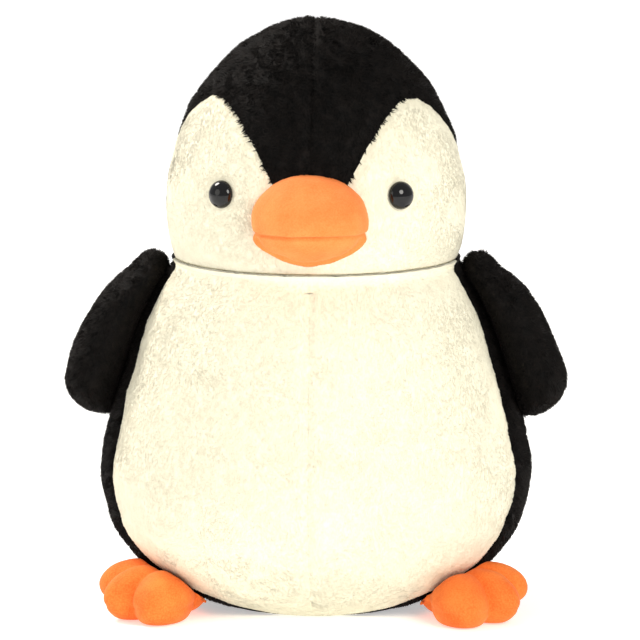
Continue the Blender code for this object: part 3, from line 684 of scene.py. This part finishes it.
def filling(form, body, surface, depth, colours, fill, seed, low_z=-1.0, high_z=1.0):
    """Polyester wadding that fills a form between two heights: softly lumpy, a little smaller than its fabric,
    and never set back by more than a share of the form's own thickness, so it can't come out on the far side."""
    normals = surface.normals()
    tree = BVHTree.FromPolygons(surface.points.tolist(), surface.triangles.tolist())
    through = np.array([tree.ray_cast(Vector(point - normal * 0.0002), Vector(-normal))[3] or 0.0
                        for point, normal in zip(surface.points, normals)])
    inset = depth + 0.0006 * (1 + waves(surface.points, 0.009, seed))
    inset = surface.smooth(np.minimum(inset, WADDING_SHARE * through), 2)
    points = surface.points - normals * inset[:, None]
    points[:, 2] = np.clip(points[:, 2], low_z, high_z)
    piece = add_mesh(f"{form}_wadding", points, surface.triangles, None, polyester_wadding(colours))
    set_down(piece, body, [f"{form}_stuffing"])


def set_down(piece, body, nodes):
    """Put the piece on the body that it rides on, and hide the imported parts that it stands for."""
    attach(piece, body)
    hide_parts(*nodes)


# ---- materials ---------------------------------------------------------------------------------
def feed(node, inputs):
    """Link each input that is given a socket, and set any other."""
    for key, value in inputs.items():
        if isinstance(value, bpy.types.NodeSocket):
            node.id_data.links.new(value, node.inputs[key])
        else:
            node.inputs[key].default_value = value


def add_node(tree, kind, inputs=None, **settings):
    node = tree.nodes.new(kind)
    for key, value in settings.items():
        setattr(node, key, value)
    feed(node, inputs or {})
    return node


def shared(name, make, *settings):
    """The material of that name, made by the first piece that needs it."""
    return bpy.data.materials.get(name) or make(name, *settings)


def new_material(name):
    material = bpy.data.materials.new(name)
    material.use_nodes = True
    tree = material.node_tree
    place = add_node(tree, "ShaderNodeTexCoord").outputs["Object"]
    return material, tree, tree.nodes["Principled BSDF"], place


def per_metre(millimetres):
    """A noise scale whose features are about so many millimetres wide."""
    return 1000.0 / millimetres


def napped_fabric(name, deep, lit, fine, broad, mixed, roughness, relief, specular, sheen):
    """Fabric with a nap: painted shade as if between its fibres and painted light as if on them, laid out by a fine
    pattern and a broad one.

    The patterns are (width in mm, detail), mixed is where their sum gives each colour, roughness its lowest and
    highest, relief (strength, height) and sheen (weight, roughness, tint)."""
    material, tree, shader, place = new_material(name)
    grain, patches = (add_node(tree, "ShaderNodeTexNoise", {"Vector": place, "Scale": per_metre(width),
                                                            "Detail": detail}).outputs["Fac"]
                      for width, detail in (fine, broad))
    both = add_node(tree, "ShaderNodeMath", {0: grain, 1: patches}, operation="ADD")
    share = add_node(tree, "ShaderNodeMapRange", {"Value": both.outputs[0], "From Min": mixed[0], "From Max": mixed[1]})
    # deep is a painted shade colour and lit is a painted light colour, mixed by the two patterns
    mix = add_node(tree, "ShaderNodeMix", {"Factor": share.outputs["Result"], "A": (*deep, 1), "B": (*lit, 1)},
                   data_type="RGBA")
    rough = add_node(tree, "ShaderNodeMapRange", {"Value": patches, "To Min": roughness[0], "To Max": roughness[1]})
    bump = add_node(tree, "ShaderNodeBump", {"Height": grain, "Strength": relief[0], "Distance": relief[1]})
    feed(shader, {"Base Color": mix.outputs["Result"], "Roughness": rough.outputs["Result"],
                  "Normal": bump.outputs["Normal"], "Specular IOR Level": specular, "Sheen Weight": sheen[0],
                  "Sheen Roughness": sheen[1], "Sheen Tint": (*sheen[2], 1)})
    return material


def black_acrylic_plush(colours):
    """Black acrylic plush: near-black fibre whose tips catch a brown-grey sheen at grazing light, with a painted
    highlight on the tufts and painted shade between them, in random patches.
    """
    return shared("black_acrylic_plush", napped_fabric, tuple(colours.black_painted_shade), tuple(colours.black_painted_highlight),
                  (1.1, 2.0), (5.0, 3.0), (0.75, 1.3), (0.66, 0.78), (0.25, 0.4 * MM), 0.12,
                  (0.05, 0.45, linear("#9A8C86")))


def cream_polyester_plush(colours):
    """Undyed polyester plush: creamy white, matt and evenly soft, with painted shade between the tufts in random
    patches.
    """
    return shared("cream_polyester_plush", napped_fabric, tuple(colours.white_painted_shade), tuple(colours.white),
                  (1.1, 2.0), (7.0, 3.0), (0.75, 1.3), (0.84, 0.96), (0.25, 0.4 * MM), 0.12,
                  (0.15, 0.45, linear("#FFFFFF")))


def velboa(name, deep, lit):
    """Brushed velboa: a nap under a millimetre, finer than shows, drawn as a soft 1 mm grain with brushed areas, its
    nap's light and shade painted into the colour.
    """
    return napped_fabric(name, deep, lit, (0.9, 3.0), (16, 2.0), (0.7, 1.25), (0.72, 0.88), (0.35, 0.3 * MM), 0.3,
                         (0.25, 0.4, linear("#FFC79A")))


def polyester_wadding(colours):
    """Carded polyester fibre: white, matt, streaked with strands about a millimetre apart."""
    return shared("polyester_wadding", fibre, tuple(colours.filling))


def fibre(name, light):
    material, tree, shader, place = new_material(name)
    strands = add_node(tree, "ShaderNodeTexNoise", {"Vector": place, "Scale": per_metre(1.5), "Detail": 4.0,
                                                   "Distortion": 2.5}).outputs["Fac"]
    mix = add_node(tree, "ShaderNodeMix", {"Factor": strands, "A": (*linear("#DCDBD6"), 1), "B": (*light, 1)},
                   data_type="RGBA")
    rough = add_node(tree, "ShaderNodeMapRange", {"Value": strands, "To Min": 0.85, "To Max": 1.0})
    bump = add_node(tree, "ShaderNodeBump", {"Height": strands, "Strength": 0.6, "Distance": 0.5 * MM})
    feed(shader, {"Base Color": mix.outputs["Result"], "Roughness": rough.outputs["Result"],
                  "Normal": bump.outputs["Normal"]})
    return material


def moulded_plastic(name, base, roughness, worn):
    """Injection-moulded plastic: a faint flow mottle in its colour and gloss."""
    material, tree, shader, place = new_material(name)
    mottle = add_node(tree, "ShaderNodeTexNoise", {"Vector": place, "Scale": per_metre(3.0), "Detail": 2.0})
    flow = mottle.outputs["Fac"]
    paler = (*[c * 1.25 + 0.001 for c in base], 1)
    mix = add_node(tree, "ShaderNodeMix", {"Factor": flow, "A": (*base, 1), "B": paler}, data_type="RGBA")
    rough = add_node(tree, "ShaderNodeMapRange", {"Value": flow, "To Min": roughness, "To Max": roughness + worn})
    feed(shader, {"Base Color": mix.outputs["Result"], "Roughness": rough.outputs["Result"], "IOR": 1.45})
    return material


# ---- pieces ------------------------------------------------------------------------------------
def grid_cells(full):
    return full


def seamed(surface, seam, sizes, swell, depth=None, standing=None):
    """Move a form's points out by its swelling and lumps, and in at its seams and under its pile."""
    depth = sizes.seam_depth if depth is None else depth
    standing = sizes.standing if standing is None else standing
    growth = surface.fields.get("growth", np.ones(len(surface.points)))
    normals = surface.normals()
    groove = depth * np.exp(-(seam / sizes.seam_half_width) ** 2)
    pucker = 0.25 * MM * waves(surface.points, 0.007, 5) * np.exp(-(seam / 0.007) ** 2)
    lumps = sizes.lumps * (0.6 * waves(surface.points, 0.045, 3) + 0.4 * waves(surface.points, 0.02, 4))
    out = swell + growth * (pucker + lumps - groove - standing)
    surface.points = surface.points + normals * out[:, None]


def make_head(sizes, colours):
    way, triangles = ball_directions(grid_cells(66))
    surface = Surface(head_form(way), triangles)
    x, _, z = surface.points.T
    cheek = cheek_distance(surface.points)
    surface.fields = {"cheek": cheek, "centre": x.copy(), "neck": z - HEAD_FABRIC_LOW_Z}
    seam = np.minimum(np.abs(cheek), np.abs(x) * (1 + 0.6 * (z > 0.24)))
    eye_near = eye_distance(surface.points)
    surface.fields["growth"] = smooth_step(z, NECK_RIM_Z, NECK_RIM_Z + 0.005)
    swell = stuffed(surface, np.minimum(seam, np.abs(z - NECK_RIM_Z)), 4 * MM)
    seamed(surface, seam, sizes, swell * surface.fields["growth"], standing=0.8 * MM)
    dimple = EYE_DIMPLE * np.exp(-(eye_near / EYE_DIMPLE_REACH) ** 2)
    surface.points = surface.points - surface.normals() * dimple[:, None]
    surface.fields["growth"] = surface.fields["growth"] * smooth_step(eye_near, 0.0062, 0.0115)
    wadding = Surface(surface.points.copy(), surface.triangles)
    for name in ("cheek", "centre", "neck"):
        surface.cut(name)
    kept = surface.side("neck") > 0
    for number, (name, side) in enumerate(SIDES.items()):
        half = kept & (surface.side("centre") == side)
        for panel, sign, seed in (("crown", -1, 100), ("cheek", 1, 110)):
            plush_panel(f"{name}_{panel}", "head", surface, half & (surface.side("cheek") == sign), panel == "cheek",
                        sizes, colours, seed + number)
    dent = 0.0045 * np.exp(-(eye_distance(wadding.points) / 0.010) ** 2)
    wadding.points = wadding.points - wadding.normals() * dent[:, None]
    filling("head", "head", wadding, sizes.backing + 0.6 * MM, colours, 0.9, 120, low_z=NECK_CUT_Z + 0.0005)


def eye_seat(side):
    """Where an eye's stem goes through the fabric, and the way that the fabric faces there."""
    latitude = asin((EYE_Z - HEAD_WIDE_Z) / (HEIGHT - HEAD_WIDE_Z))
    across = HEAD_HALF_WIDTH * cos(latitude) ** CROWN_TAPER
    longitude = -acos(EYE_X / across)
    step = radians(1)
    around = [(longitude, latitude), (longitude + step, latitude), (longitude - step, latitude),
              (longitude, latitude + step), (longitude, latitude - step)]
    way = np.array([(cos(b) * cos(a), cos(b) * sin(a), sin(b)) for a, b in around])
    seat, right, left, up, down = head_form(way)
    look = unit(np.cross(right - left, up - down))
    mirror = np.array((side, 1, 1))
    return seat * mirror, look * mirror


def eye_distance(points):
    """How far points are from the nearer eye's axis, on the front of the head."""
    seat, _ = eye_seat(1)
    away = np.abs(points) * np.array((1, 0, 0)) + points * np.array((0, 1, 1)) - seat
    return np.linalg.norm(away, axis=1)


def turned(name, profile, seat, look, material, segments=64):
    """A round piece from (radius, depth inward) points turned about the eye's axis."""
    profile = np.array(profile)
    angle = np.linspace(0, 2 * pi, segments, endpoint=False)
    ring = np.stack([np.cos(angle), np.sin(angle)], axis=1)
    points = np.concatenate([np.column_stack([r * ring, np.full(segments, -d)]) for r, d in profile])
    triangles = []
    for level in range(len(profile) - 1):
        a = level * segments + np.arange(segments)
        b = level * segments + (np.arange(segments) + 1) % segments
        triangles += [np.stack([a, a + segments, b], axis=1), np.stack([b, a + segments, b + segments], axis=1)]
    triangles = np.concatenate(triangles)
    turn = Vector((0, 0, 1)).rotation_difference(Vector(look))
    matrix = np.array(turn.to_matrix())
    piece = add_mesh(name, points @ matrix.T + seat, triangles, None, material)
    clean_up(piece)
    return piece


def clean_up(piece):
    """Merge the points that fall together at a pole, drop empty faces and face the rest outward."""
    bm = bmesh.new()
    bm.from_mesh(piece.data)
    bmesh.ops.remove_doubles(bm, verts=bm.verts, dist=1e-6)
    bmesh.ops.dissolve_degenerate(bm, edges=bm.edges, dist=1e-7)
    bmesh.ops.recalc_face_normals(bm, faces=bm.faces)
    if bm.calc_volume(signed=True) < 0:
        bmesh.ops.reverse_faces(bm, faces=bm.faces)
    bm.to_mesh(piece.data)
    bm.free()
    piece.data.set_sharp_from_angle(angle=radians(40))


def make_eyes(colours):
    gloss = moulded_plastic("moulded_black_abs", tuple(colours.eye), 0.06, 0.04)
    natural = moulded_plastic("moulded_natural_polypropylene", tuple(colours.washer), 0.42, 0.12)
    for name, side in SIDES.items():
        seat, look = eye_seat(side)
        dome = [(EYE_RADIUS * sin(a), -0.0003 - EYE_PROUD * cos(a)) for a in np.linspace(0, pi / 2 * 0.94, 26)]
        rim = [(EYE_RADIUS, -0.0006), (EYE_RADIUS * 0.985, -0.0001), (EYE_RADIUS * 0.93, 0.0003),
               (STEM_RADIUS * 1.2, 0.0003), (STEM_RADIUS, 0.0006)]
        stem = []
        for ridge in np.arange(0.004, STEM_LENGTH - 0.002, 0.0012):   # the barbs that grip the washer
            stem += [(STEM_RADIUS * 0.9, ridge), (STEM_RADIUS, ridge + 0.0004), (STEM_RADIUS, ridge + 0.0009)]
        end = [(STEM_RADIUS * 0.9, STEM_LENGTH - 0.001), (STEM_RADIUS * 0.5, STEM_LENGTH), (0.0, STEM_LENGTH)]
        eye = turned(f"{name}_safety_eye", dome + rim + stem + end, seat - look * EYE_SINK, look, gloss)
        set_down(eye, "head", [f"{name}_eye"])
        near, bore = WASHER_DEPTH, STEM_RADIUS + 0.0003
        ring = [(bore, near), (WASHER_RADIUS * 0.55, near), (WASHER_RADIUS * 0.6, near - 0.0003),
                (WASHER_RADIUS * 0.97, near), (WASHER_RADIUS, near + WASHER_THICK * 0.3),
                (WASHER_RADIUS, near + WASHER_THICK * 0.7), (WASHER_RADIUS * 0.97, near + WASHER_THICK),
                (WASHER_RADIUS * 0.5, near + WASHER_THICK), (bore, near + WASHER_THICK), (bore, near)]
        washer = turned(f"{name}_washer", ring, seat - look * EYE_SINK, look, natural)
        set_down(washer, "head", [f"{name}_eye_washer"])


def make_beak(sizes, colours):
    way, triangles = ball_directions(grid_cells(84))
    surface = Surface(beak_form(way), triangles)
    x, _, z = surface.points.T
    sideways = (x / BEAK_HALF[0]) ** 2
    mouth = z - MOUTH_Z + MOUTH_DROOP * sideways
    surface.fields = {"mouth": mouth}
    swell = stuffed(surface, np.abs(mouth), 2 * MM, 0.004)
    normals = surface.normals()
    groove = (1.7 - 0.8 * sideways) * MM * np.exp(-(mouth / 0.0009) ** 2)
    front = -way[:, 1]
    rolled = 1.4 * MM * np.exp(-((front - 0.10) / 0.10) ** 2) * smooth_step(-mouth, 0.0, 0.003)
    tuck = 0.9 * MM * np.exp(-((front - 0.30) / 0.10) ** 2) * smooth_step(-mouth, 0.0, 0.003)
    grain = 0.05 * MM * waves(surface.points, 0.0022, 31)
    out = swell - groove + rolled - tuck + grain + 0.25 * MM * waves(surface.points, 0.014, 32)
    out -= BEAK_FLATTENING * smooth_step(-way[:, 2], 0.40, 0.85)
    surface.points = surface.points + normals * out[:, None]
    wadding = Surface(surface.points.copy(), surface.triangles)
    surface.cut("mouth")
    fabric = velboa("beak_velboa", tuple(colours.beak_painted_shade), tuple(colours.beak))
    for name, sign in (("upper", 1), ("lower", -1)):
        velboa_panel(f"{name}_beak", "head", surface, surface.side("mouth") == sign, fabric, sizes)
    filling("beak", "head", wadding, sizes.velboa + 0.5 * MM, colours, 0.9, 130)


def make_neck(colours):
    """The wad of filling in the neck opening, a ball's cap inside the head's underside."""
    way, triangles = ball_directions(grid_cells(36))
    radius, cut = NECK_BALL - 1.9 * MM, NECK_CUT_Z - 0.0003
    points = HEAD_PIVOT + way * radius
    opening = sqrt(radius ** 2 - (HEAD_PIVOT[2] - cut) ** 2)
    above = points[:, 2] > cut                     # the ball's upper part becomes the flat top of the cap
    points[:, :2] *= np.where(above, opening / radius, 1.0)[:, None]
    points[:, 2] = np.minimum(points[:, 2], cut)
    filling("neck", "neck", Surface(points, triangles), 0.0, colours, 0.8, 140, high_z=cut)


def make_torso(sizes, colours):
    way, triangles = ball_directions(grid_cells(80))
    surface = Surface(torso_form(way), triangles)
    x, y, z = surface.points.T
    side_seam = y - smooth_value(BELLY_SEAM, z)
    base_edge = np.hypot(x, y) - BASE_RADIUS + 5 * z
    surface.fields = {"side": side_seam, "centre": x.copy(), "base": base_edge}
    out_of_cup = np.linalg.norm(surface.points - HEAD_PIVOT, axis=1) - NECK_CUP
    standing_on = smooth_step(z, 0.0005, 0.008)
    surface.fields["growth"] = smooth_step(out_of_cup, 0.0012, 0.0032) * (0.12 + 0.88 * standing_on)
    seam = np.minimum(np.abs(side_seam), np.abs(x))
    held = np.minimum(seam, np.minimum(np.abs(out_of_cup), np.where(z < 0.004, 0.0, 1.0)))
    swell = stuffed(surface, held, 5 * MM, 0.006) * surface.fields["growth"]
    swell *= smooth_step(-z, -FADE_HIGH_Z, -FADE_LOW_Z)       # no fuller near the neck, where the head turns over it
    seamed(surface, seam, sizes, swell)
    under_beak = np.linalg.norm(surface.points - UNDER_BEAK, axis=1)
    hollow = BELLY_HOLLOW * np.exp(-(under_beak / BELLY_HOLLOW_REACH) ** 2) * surface.fields["growth"]
    surface.points = surface.points - surface.normals() * hollow[:, None]
    surface.points[:, 2] = np.maximum(surface.points[:, 2], 0.0)
    wadding = Surface(surface.points.copy(), surface.triangles)
    for name in ("side", "centre", "base"):
        surface.cut(name)
    body = surface.side("base") > 0
    for number, (name, side) in enumerate(SIDES.items()):
        half = body & (surface.side("centre") == side)
        for panel, sign, seed in (("belly", -1, 200), ("back", 1, 210)):
            plush_panel(f"{name}_{panel}", "torso", surface, half & (surface.side("side") == sign), panel == "belly",
                        sizes, colours, seed + number)
    plush_panel("base", "torso", surface, ~body, True, sizes, colours, 220)
    filling("torso", "torso", wadding, sizes.backing + 0.6 * MM, colours, 0.95, 230, high_z=NECK_RIM_Z - 0.007)


def make_wings(sizes, colours):
    for number, (name, side) in enumerate(SIDES.items()):
        way, triangles = ball_directions(grid_cells(34))
        surface = Surface(wing_form(way, side), triangles)
        edge = way[:, 0]                          # the outer and inner panels meet halfway round
        surface.fields = {"edge": edge.copy(), "growth": 1 - 0.75 * smooth_step(-edge, 0.35, 0.8)}
        seam = np.abs(edge) * 0.012
        swell = stuffed(surface, seam, 2.5 * MM, 0.004)
        swell *= smooth_step(edge, -0.5, 0.2)
        seamed(surface, seam * 2, sizes, swell, depth=0.5 * MM, standing=0.8 * MM)
        surface.points[:, 0] -= side * WING_SNUG * smooth_step(-edge, 0.0, 0.5)
        wadding = Surface(surface.points.copy(), surface.triangles)
        surface.cut("edge")
        for number_of, (suffix, sign) in enumerate((("outer", 1), ("inner", -1))):
            plush_panel(f"{name}_wing_{suffix}", f"{name}_wing", surface, surface.side("edge") == sign, False, sizes,
                        colours, 300 + 10 * number + number_of)
        filling(f"{name}_wing", f"{name}_wing", wadding, sizes.backing + 0.5 * MM, colours, 0.6, 320 + number)


def make_feet(sizes, colours):
    fabric = velboa("foot_velboa", tuple(colours.orange_painted_shade), tuple(colours.orange))
    for number, (name, side) in enumerate(SIDES.items()):
        way, triangles = ball_directions(grid_cells(52))
        surface = Surface(foot_form(way, side), triangles)
        z = surface.points[:, 2]
        outward, _ = foot_axes(side)
        past_hinge = surface.points @ outward - FOOT_HINGE_RADIUS
        surface.fields = {"sole": z - FOOT_SEAM_Z, "growth": 0.25 + 0.75 * smooth_step(past_hinge, 0.0, 0.006)}
        swell = stuffed(surface, np.where(z < 0.002, 0.0, 1.0), 1.5 * MM, 0.004)
        normals = surface.normals()
        free = smooth_step(z, 0.001, 0.006)
        grain = 0.05 * MM * waves(surface.points, 0.0022, 41) + 0.2 * MM * waves(surface.points, 0.012, 42)
        groove = 0.5 * MM * np.exp(-((z - FOOT_SEAM_Z) / 0.0015) ** 2)
        surface.points = surface.points + normals * ((swell * 0.5 + grain - groove) * free)[:, None]
        surface.points[:, 2] = np.maximum(surface.points[:, 2], 0.0)
        into_root = np.maximum(0.0, FOOT_HINGE_RADIUS + WADDING_FROM_HINGE - surface.points @ outward)
        wadding = Surface(surface.points + outward * into_root[:, None], surface.triangles)
        surface.cut("sole")
        for suffix, sign in (("top", 1), ("sole", -1)):
            velboa_panel(f"{name}_foot_{suffix}", f"{name}_foot", surface, surface.side("sole") == sign, fabric, sizes)
        filling(f"{name}_foot", f"{name}_foot", wadding, sizes.velboa + 0.4 * MM, colours, 0.85, 400 + number)


def make_tail(sizes, colours):
    way, triangles = ball_directions(grid_cells(22))
    surface = Surface(tail_form(way), triangles)
    edge = way[:, 1] + 0.15
    surface.fields = {"edge": edge.copy()}
    swell = stuffed(surface, np.abs(edge) * 0.010, 1.0 * MM, 0.004) * 0.5
    seamed(surface, np.abs(edge) * 0.02, sizes, swell, depth=0.5 * MM, standing=0.8 * MM)
    slimmer = 1.2 * MM * smooth_step(-surface.points[:, 1], -TAIL_HINGE_Y - 0.003, -TAIL_HINGE_Y + 0.005)
    surface.points = surface.points - surface.normals() * slimmer[:, None]
    wadding = Surface(surface.points.copy(), surface.triangles)
    surface.cut("edge")
    for number, (suffix, sign) in enumerate((("upper", 1), ("lower", -1))):
        plush_panel(f"tail_{suffix}", "tail", surface, surface.side("edge") == sign, False, sizes, colours,
                    500 + number)
    filling("tail", "tail", wadding, sizes.backing + 0.5 * MM, colours, 0.6, 510)


# ---- studio ------------------------------------------------------------------------------------
def painted_sweep(colours):
    """Matt studio paint on a curved sweep: no gloss, with the faint mottle of a roller."""
    material, tree, shader, place = new_material("matt_studio_paint")
    mottle = add_node(tree, "ShaderNodeTexNoise", {"Vector": place, "Scale": 40.0, "Detail": 3.0})
    mix = add_node(tree, "ShaderNodeMix", {"Factor": mottle.outputs["Fac"], "B": (*colours.sweep, 1),
                                           "A": (*[c * 0.985 for c in colours.sweep], 1)}, data_type="RGBA")
    # the emission keeps the far backdrop as white as the floor
    feed(shader, {"Base Color": mix.outputs["Result"], "Roughness": 0.95, "Specular IOR Level": 0.1,
                  "Emission Color": (*linear("#FFFFFF"), 1), "Emission Strength": 0.45})
    return material


def make_sweep(colours):
    """A floor that curves up into a backdrop behind the toy."""
    radius, back, reach = 1.5, 7.0, 9.0             # far enough away that the toy can be seen from behind
    bend = [(back + radius * sin(a), radius - radius * cos(a)) for a in np.linspace(0, pi / 2, 25)]
    outline = [(-reach, 0.0), *bend, (back + radius, reach)]
    points = np.array([(x, y, z) for y, z in outline for x in (-reach, reach)])
    row = np.arange(len(outline) - 1)[:, None] * 2
    triangles = np.concatenate([row + (0, 1, 3), row + (0, 3, 2)])
    add_mesh("studio_sweep", points, triangles, None, painted_sweep(colours))


def add_light(name, place, aim, width, power, tint):
    data = bpy.data.lights.new(name, "AREA")
    data.shape = "DISK"
    data.size = width
    data.energy = power
    data.color = linear(tint)
    light = bpy.data.objects.new(name, data)
    light.location = place
    light.rotation_euler = (Vector(place) - Vector(aim)).to_track_quat("Z", "Y").to_euler()
    bpy.context.scene.collection.objects.link(light)


def make_studio(studio, colours):
    scene = bpy.context.scene
    make_sweep(colours)
    centre = Vector((0.0, 0.0, HEIGHT / 2))
    add_light("key_softbox", (1.5, -2.0, 1.5), centre, 1.3, studio.key, "#FFFCF4")
    add_light("fill_softbox", (-2.2, -1.4, 0.9), centre, 1.6, studio.fill, "#F6F4EA")
    add_light("rim_softbox", (-1.1, 0.5, 1.5), centre, 0.7, studio.rim, "#FFF8F0")
    world = bpy.data.worlds.new("white_room")
    world.use_nodes = True
    feed(world.node_tree.nodes["Background"], {"Color": (*linear("#FFFFFF"), 1), "Strength": studio.sky})
    scene.world = world
    scene.view_settings.view_transform = "Standard"

    camera = bpy.data.objects.new("camera", bpy.data.cameras.new("camera"))
    camera.data.lens = studio.lens
    camera.data.sensor_width = 36
    back = Vector((sin(studio.azimuth) * cos(studio.elevation), -cos(studio.azimuth) * cos(studio.elevation),
                   sin(studio.elevation)))
    aim = Vector((0.002, 0.0, HEIGHT * 0.4847))
    camera.location = aim + back * studio.distance
    camera.rotation_euler = back.to_track_quat("Z", "Y").to_euler()
    camera.data.clip_end = 50
    scene.collection.objects.link(camera)
    scene.camera = camera


# ---- operators ---------------------------------------------------------------------------------
class PENGUIN_OT_studio(bpy.types.Operator):
    """Add the studio sweep, the soft lights and the camera"""
    bl_idname = "penguin.studio"
    bl_label = "Studio"
    bl_options = {"REGISTER", "UNDO"}

    def execute(self, context):
        make_studio(context.scene.penguin_studio, context.scene.penguin_colours)
        return {"FINISHED"}


class PENGUIN_OT_torso(bpy.types.Operator):
    """Sew the belly, back and base panels round the torso's filling"""
    bl_idname = "penguin.torso"
    bl_label = "Torso"
    bl_options = {"REGISTER", "UNDO"}

    def execute(self, context):
        make_torso(context.scene.penguin_sizes, context.scene.penguin_colours)
        return {"FINISHED"}


class PENGUIN_OT_neck(bpy.types.Operator):
    """Add the wad of filling in the neck"""
    bl_idname = "penguin.neck"
    bl_label = "Neck"
    bl_options = {"REGISTER", "UNDO"}

    def execute(self, context):
        make_neck(context.scene.penguin_colours)
        return {"FINISHED"}


class PENGUIN_OT_head(bpy.types.Operator):
    """Sew the crown and cheek panels round the head's filling"""
    bl_idname = "penguin.head"
    bl_label = "Head"
    bl_options = {"REGISTER", "UNDO"}

    def execute(self, context):
        make_head(context.scene.penguin_sizes, context.scene.penguin_colours)
        return {"FINISHED"}


class PENGUIN_OT_eyes(bpy.types.Operator):
    """Add the two safety eyes and the washers that hold them"""
    bl_idname = "penguin.eyes"
    bl_label = "Eyes"
    bl_options = {"REGISTER", "UNDO"}

    def execute(self, context):
        make_eyes(context.scene.penguin_colours)
        return {"FINISHED"}


class PENGUIN_OT_beak(bpy.types.Operator):
    """Sew the two halves of the beak along the mouth"""
    bl_idname = "penguin.beak"
    bl_label = "Beak"
    bl_options = {"REGISTER", "UNDO"}

    def execute(self, context):
        make_beak(context.scene.penguin_sizes, context.scene.penguin_colours)
        return {"FINISHED"}


class PENGUIN_OT_wings(bpy.types.Operator):
    """Sew the two wings"""
    bl_idname = "penguin.wings"
    bl_label = "Wings"
    bl_options = {"REGISTER", "UNDO"}

    def execute(self, context):
        make_wings(context.scene.penguin_sizes, context.scene.penguin_colours)
        return {"FINISHED"}


class PENGUIN_OT_feet(bpy.types.Operator):
    """Sew the two three-toed feet"""
    bl_idname = "penguin.feet"
    bl_label = "Feet"
    bl_options = {"REGISTER", "UNDO"}

    def execute(self, context):
        make_feet(context.scene.penguin_sizes, context.scene.penguin_colours)
        return {"FINISHED"}


class PENGUIN_OT_tail(bpy.types.Operator):
    """Sew the tail"""
    bl_idname = "penguin.tail"
    bl_label = "Tail"
    bl_options = {"REGISTER", "UNDO"}

    def execute(self, context):
        make_tail(context.scene.penguin_sizes, context.scene.penguin_colours)
        return {"FINISHED"}


OPERATORS = (PENGUIN_OT_studio, PENGUIN_OT_torso, PENGUIN_OT_neck, PENGUIN_OT_head, PENGUIN_OT_eyes,
             PENGUIN_OT_beak, PENGUIN_OT_wings, PENGUIN_OT_feet, PENGUIN_OT_tail)


class PENGUIN_PT_panel(bpy.types.Panel):
    bl_idname = "PENGUIN_PT_panel"
    bl_label = "Plush Penguin"
    bl_space_type = "VIEW_3D"
    bl_region_type = "UI"
    bl_category = "Penguin"

    def draw(self, context):
        for operator in OPERATORS:
            self.layout.operator(operator.bl_idname)
        for group in (context.scene.penguin_sizes, context.scene.penguin_colours, context.scene.penguin_studio):
            box = self.layout.box()
            for name in group.__annotations__:
                box.prop(group, name)


CLASSES = (PenguinFabricSizes, PenguinColours, PenguinStudio, *OPERATORS, PENGUIN_PT_panel)


def register():
    for cls in CLASSES:
        bpy.utils.register_class(cls)
    bpy.types.Scene.penguin_sizes = bpy.props.PointerProperty(type=PenguinFabricSizes)
    bpy.types.Scene.penguin_colours = bpy.props.PointerProperty(type=PenguinColours)
    bpy.types.Scene.penguin_studio = bpy.props.PointerProperty(type=PenguinStudio)


def unregister():
    del bpy.types.Scene.penguin_sizes, bpy.types.Scene.penguin_colours, bpy.types.Scene.penguin_studio
    for cls in reversed(CLASSES):
        bpy.utils.unregister_class(cls)


def main():
    register()
    for operator in OPERATORS:
        group, name = operator.bl_idname.split(".")
        getattr(getattr(bpy.ops, group), name)()


if __name__ == "__main__":
    main()
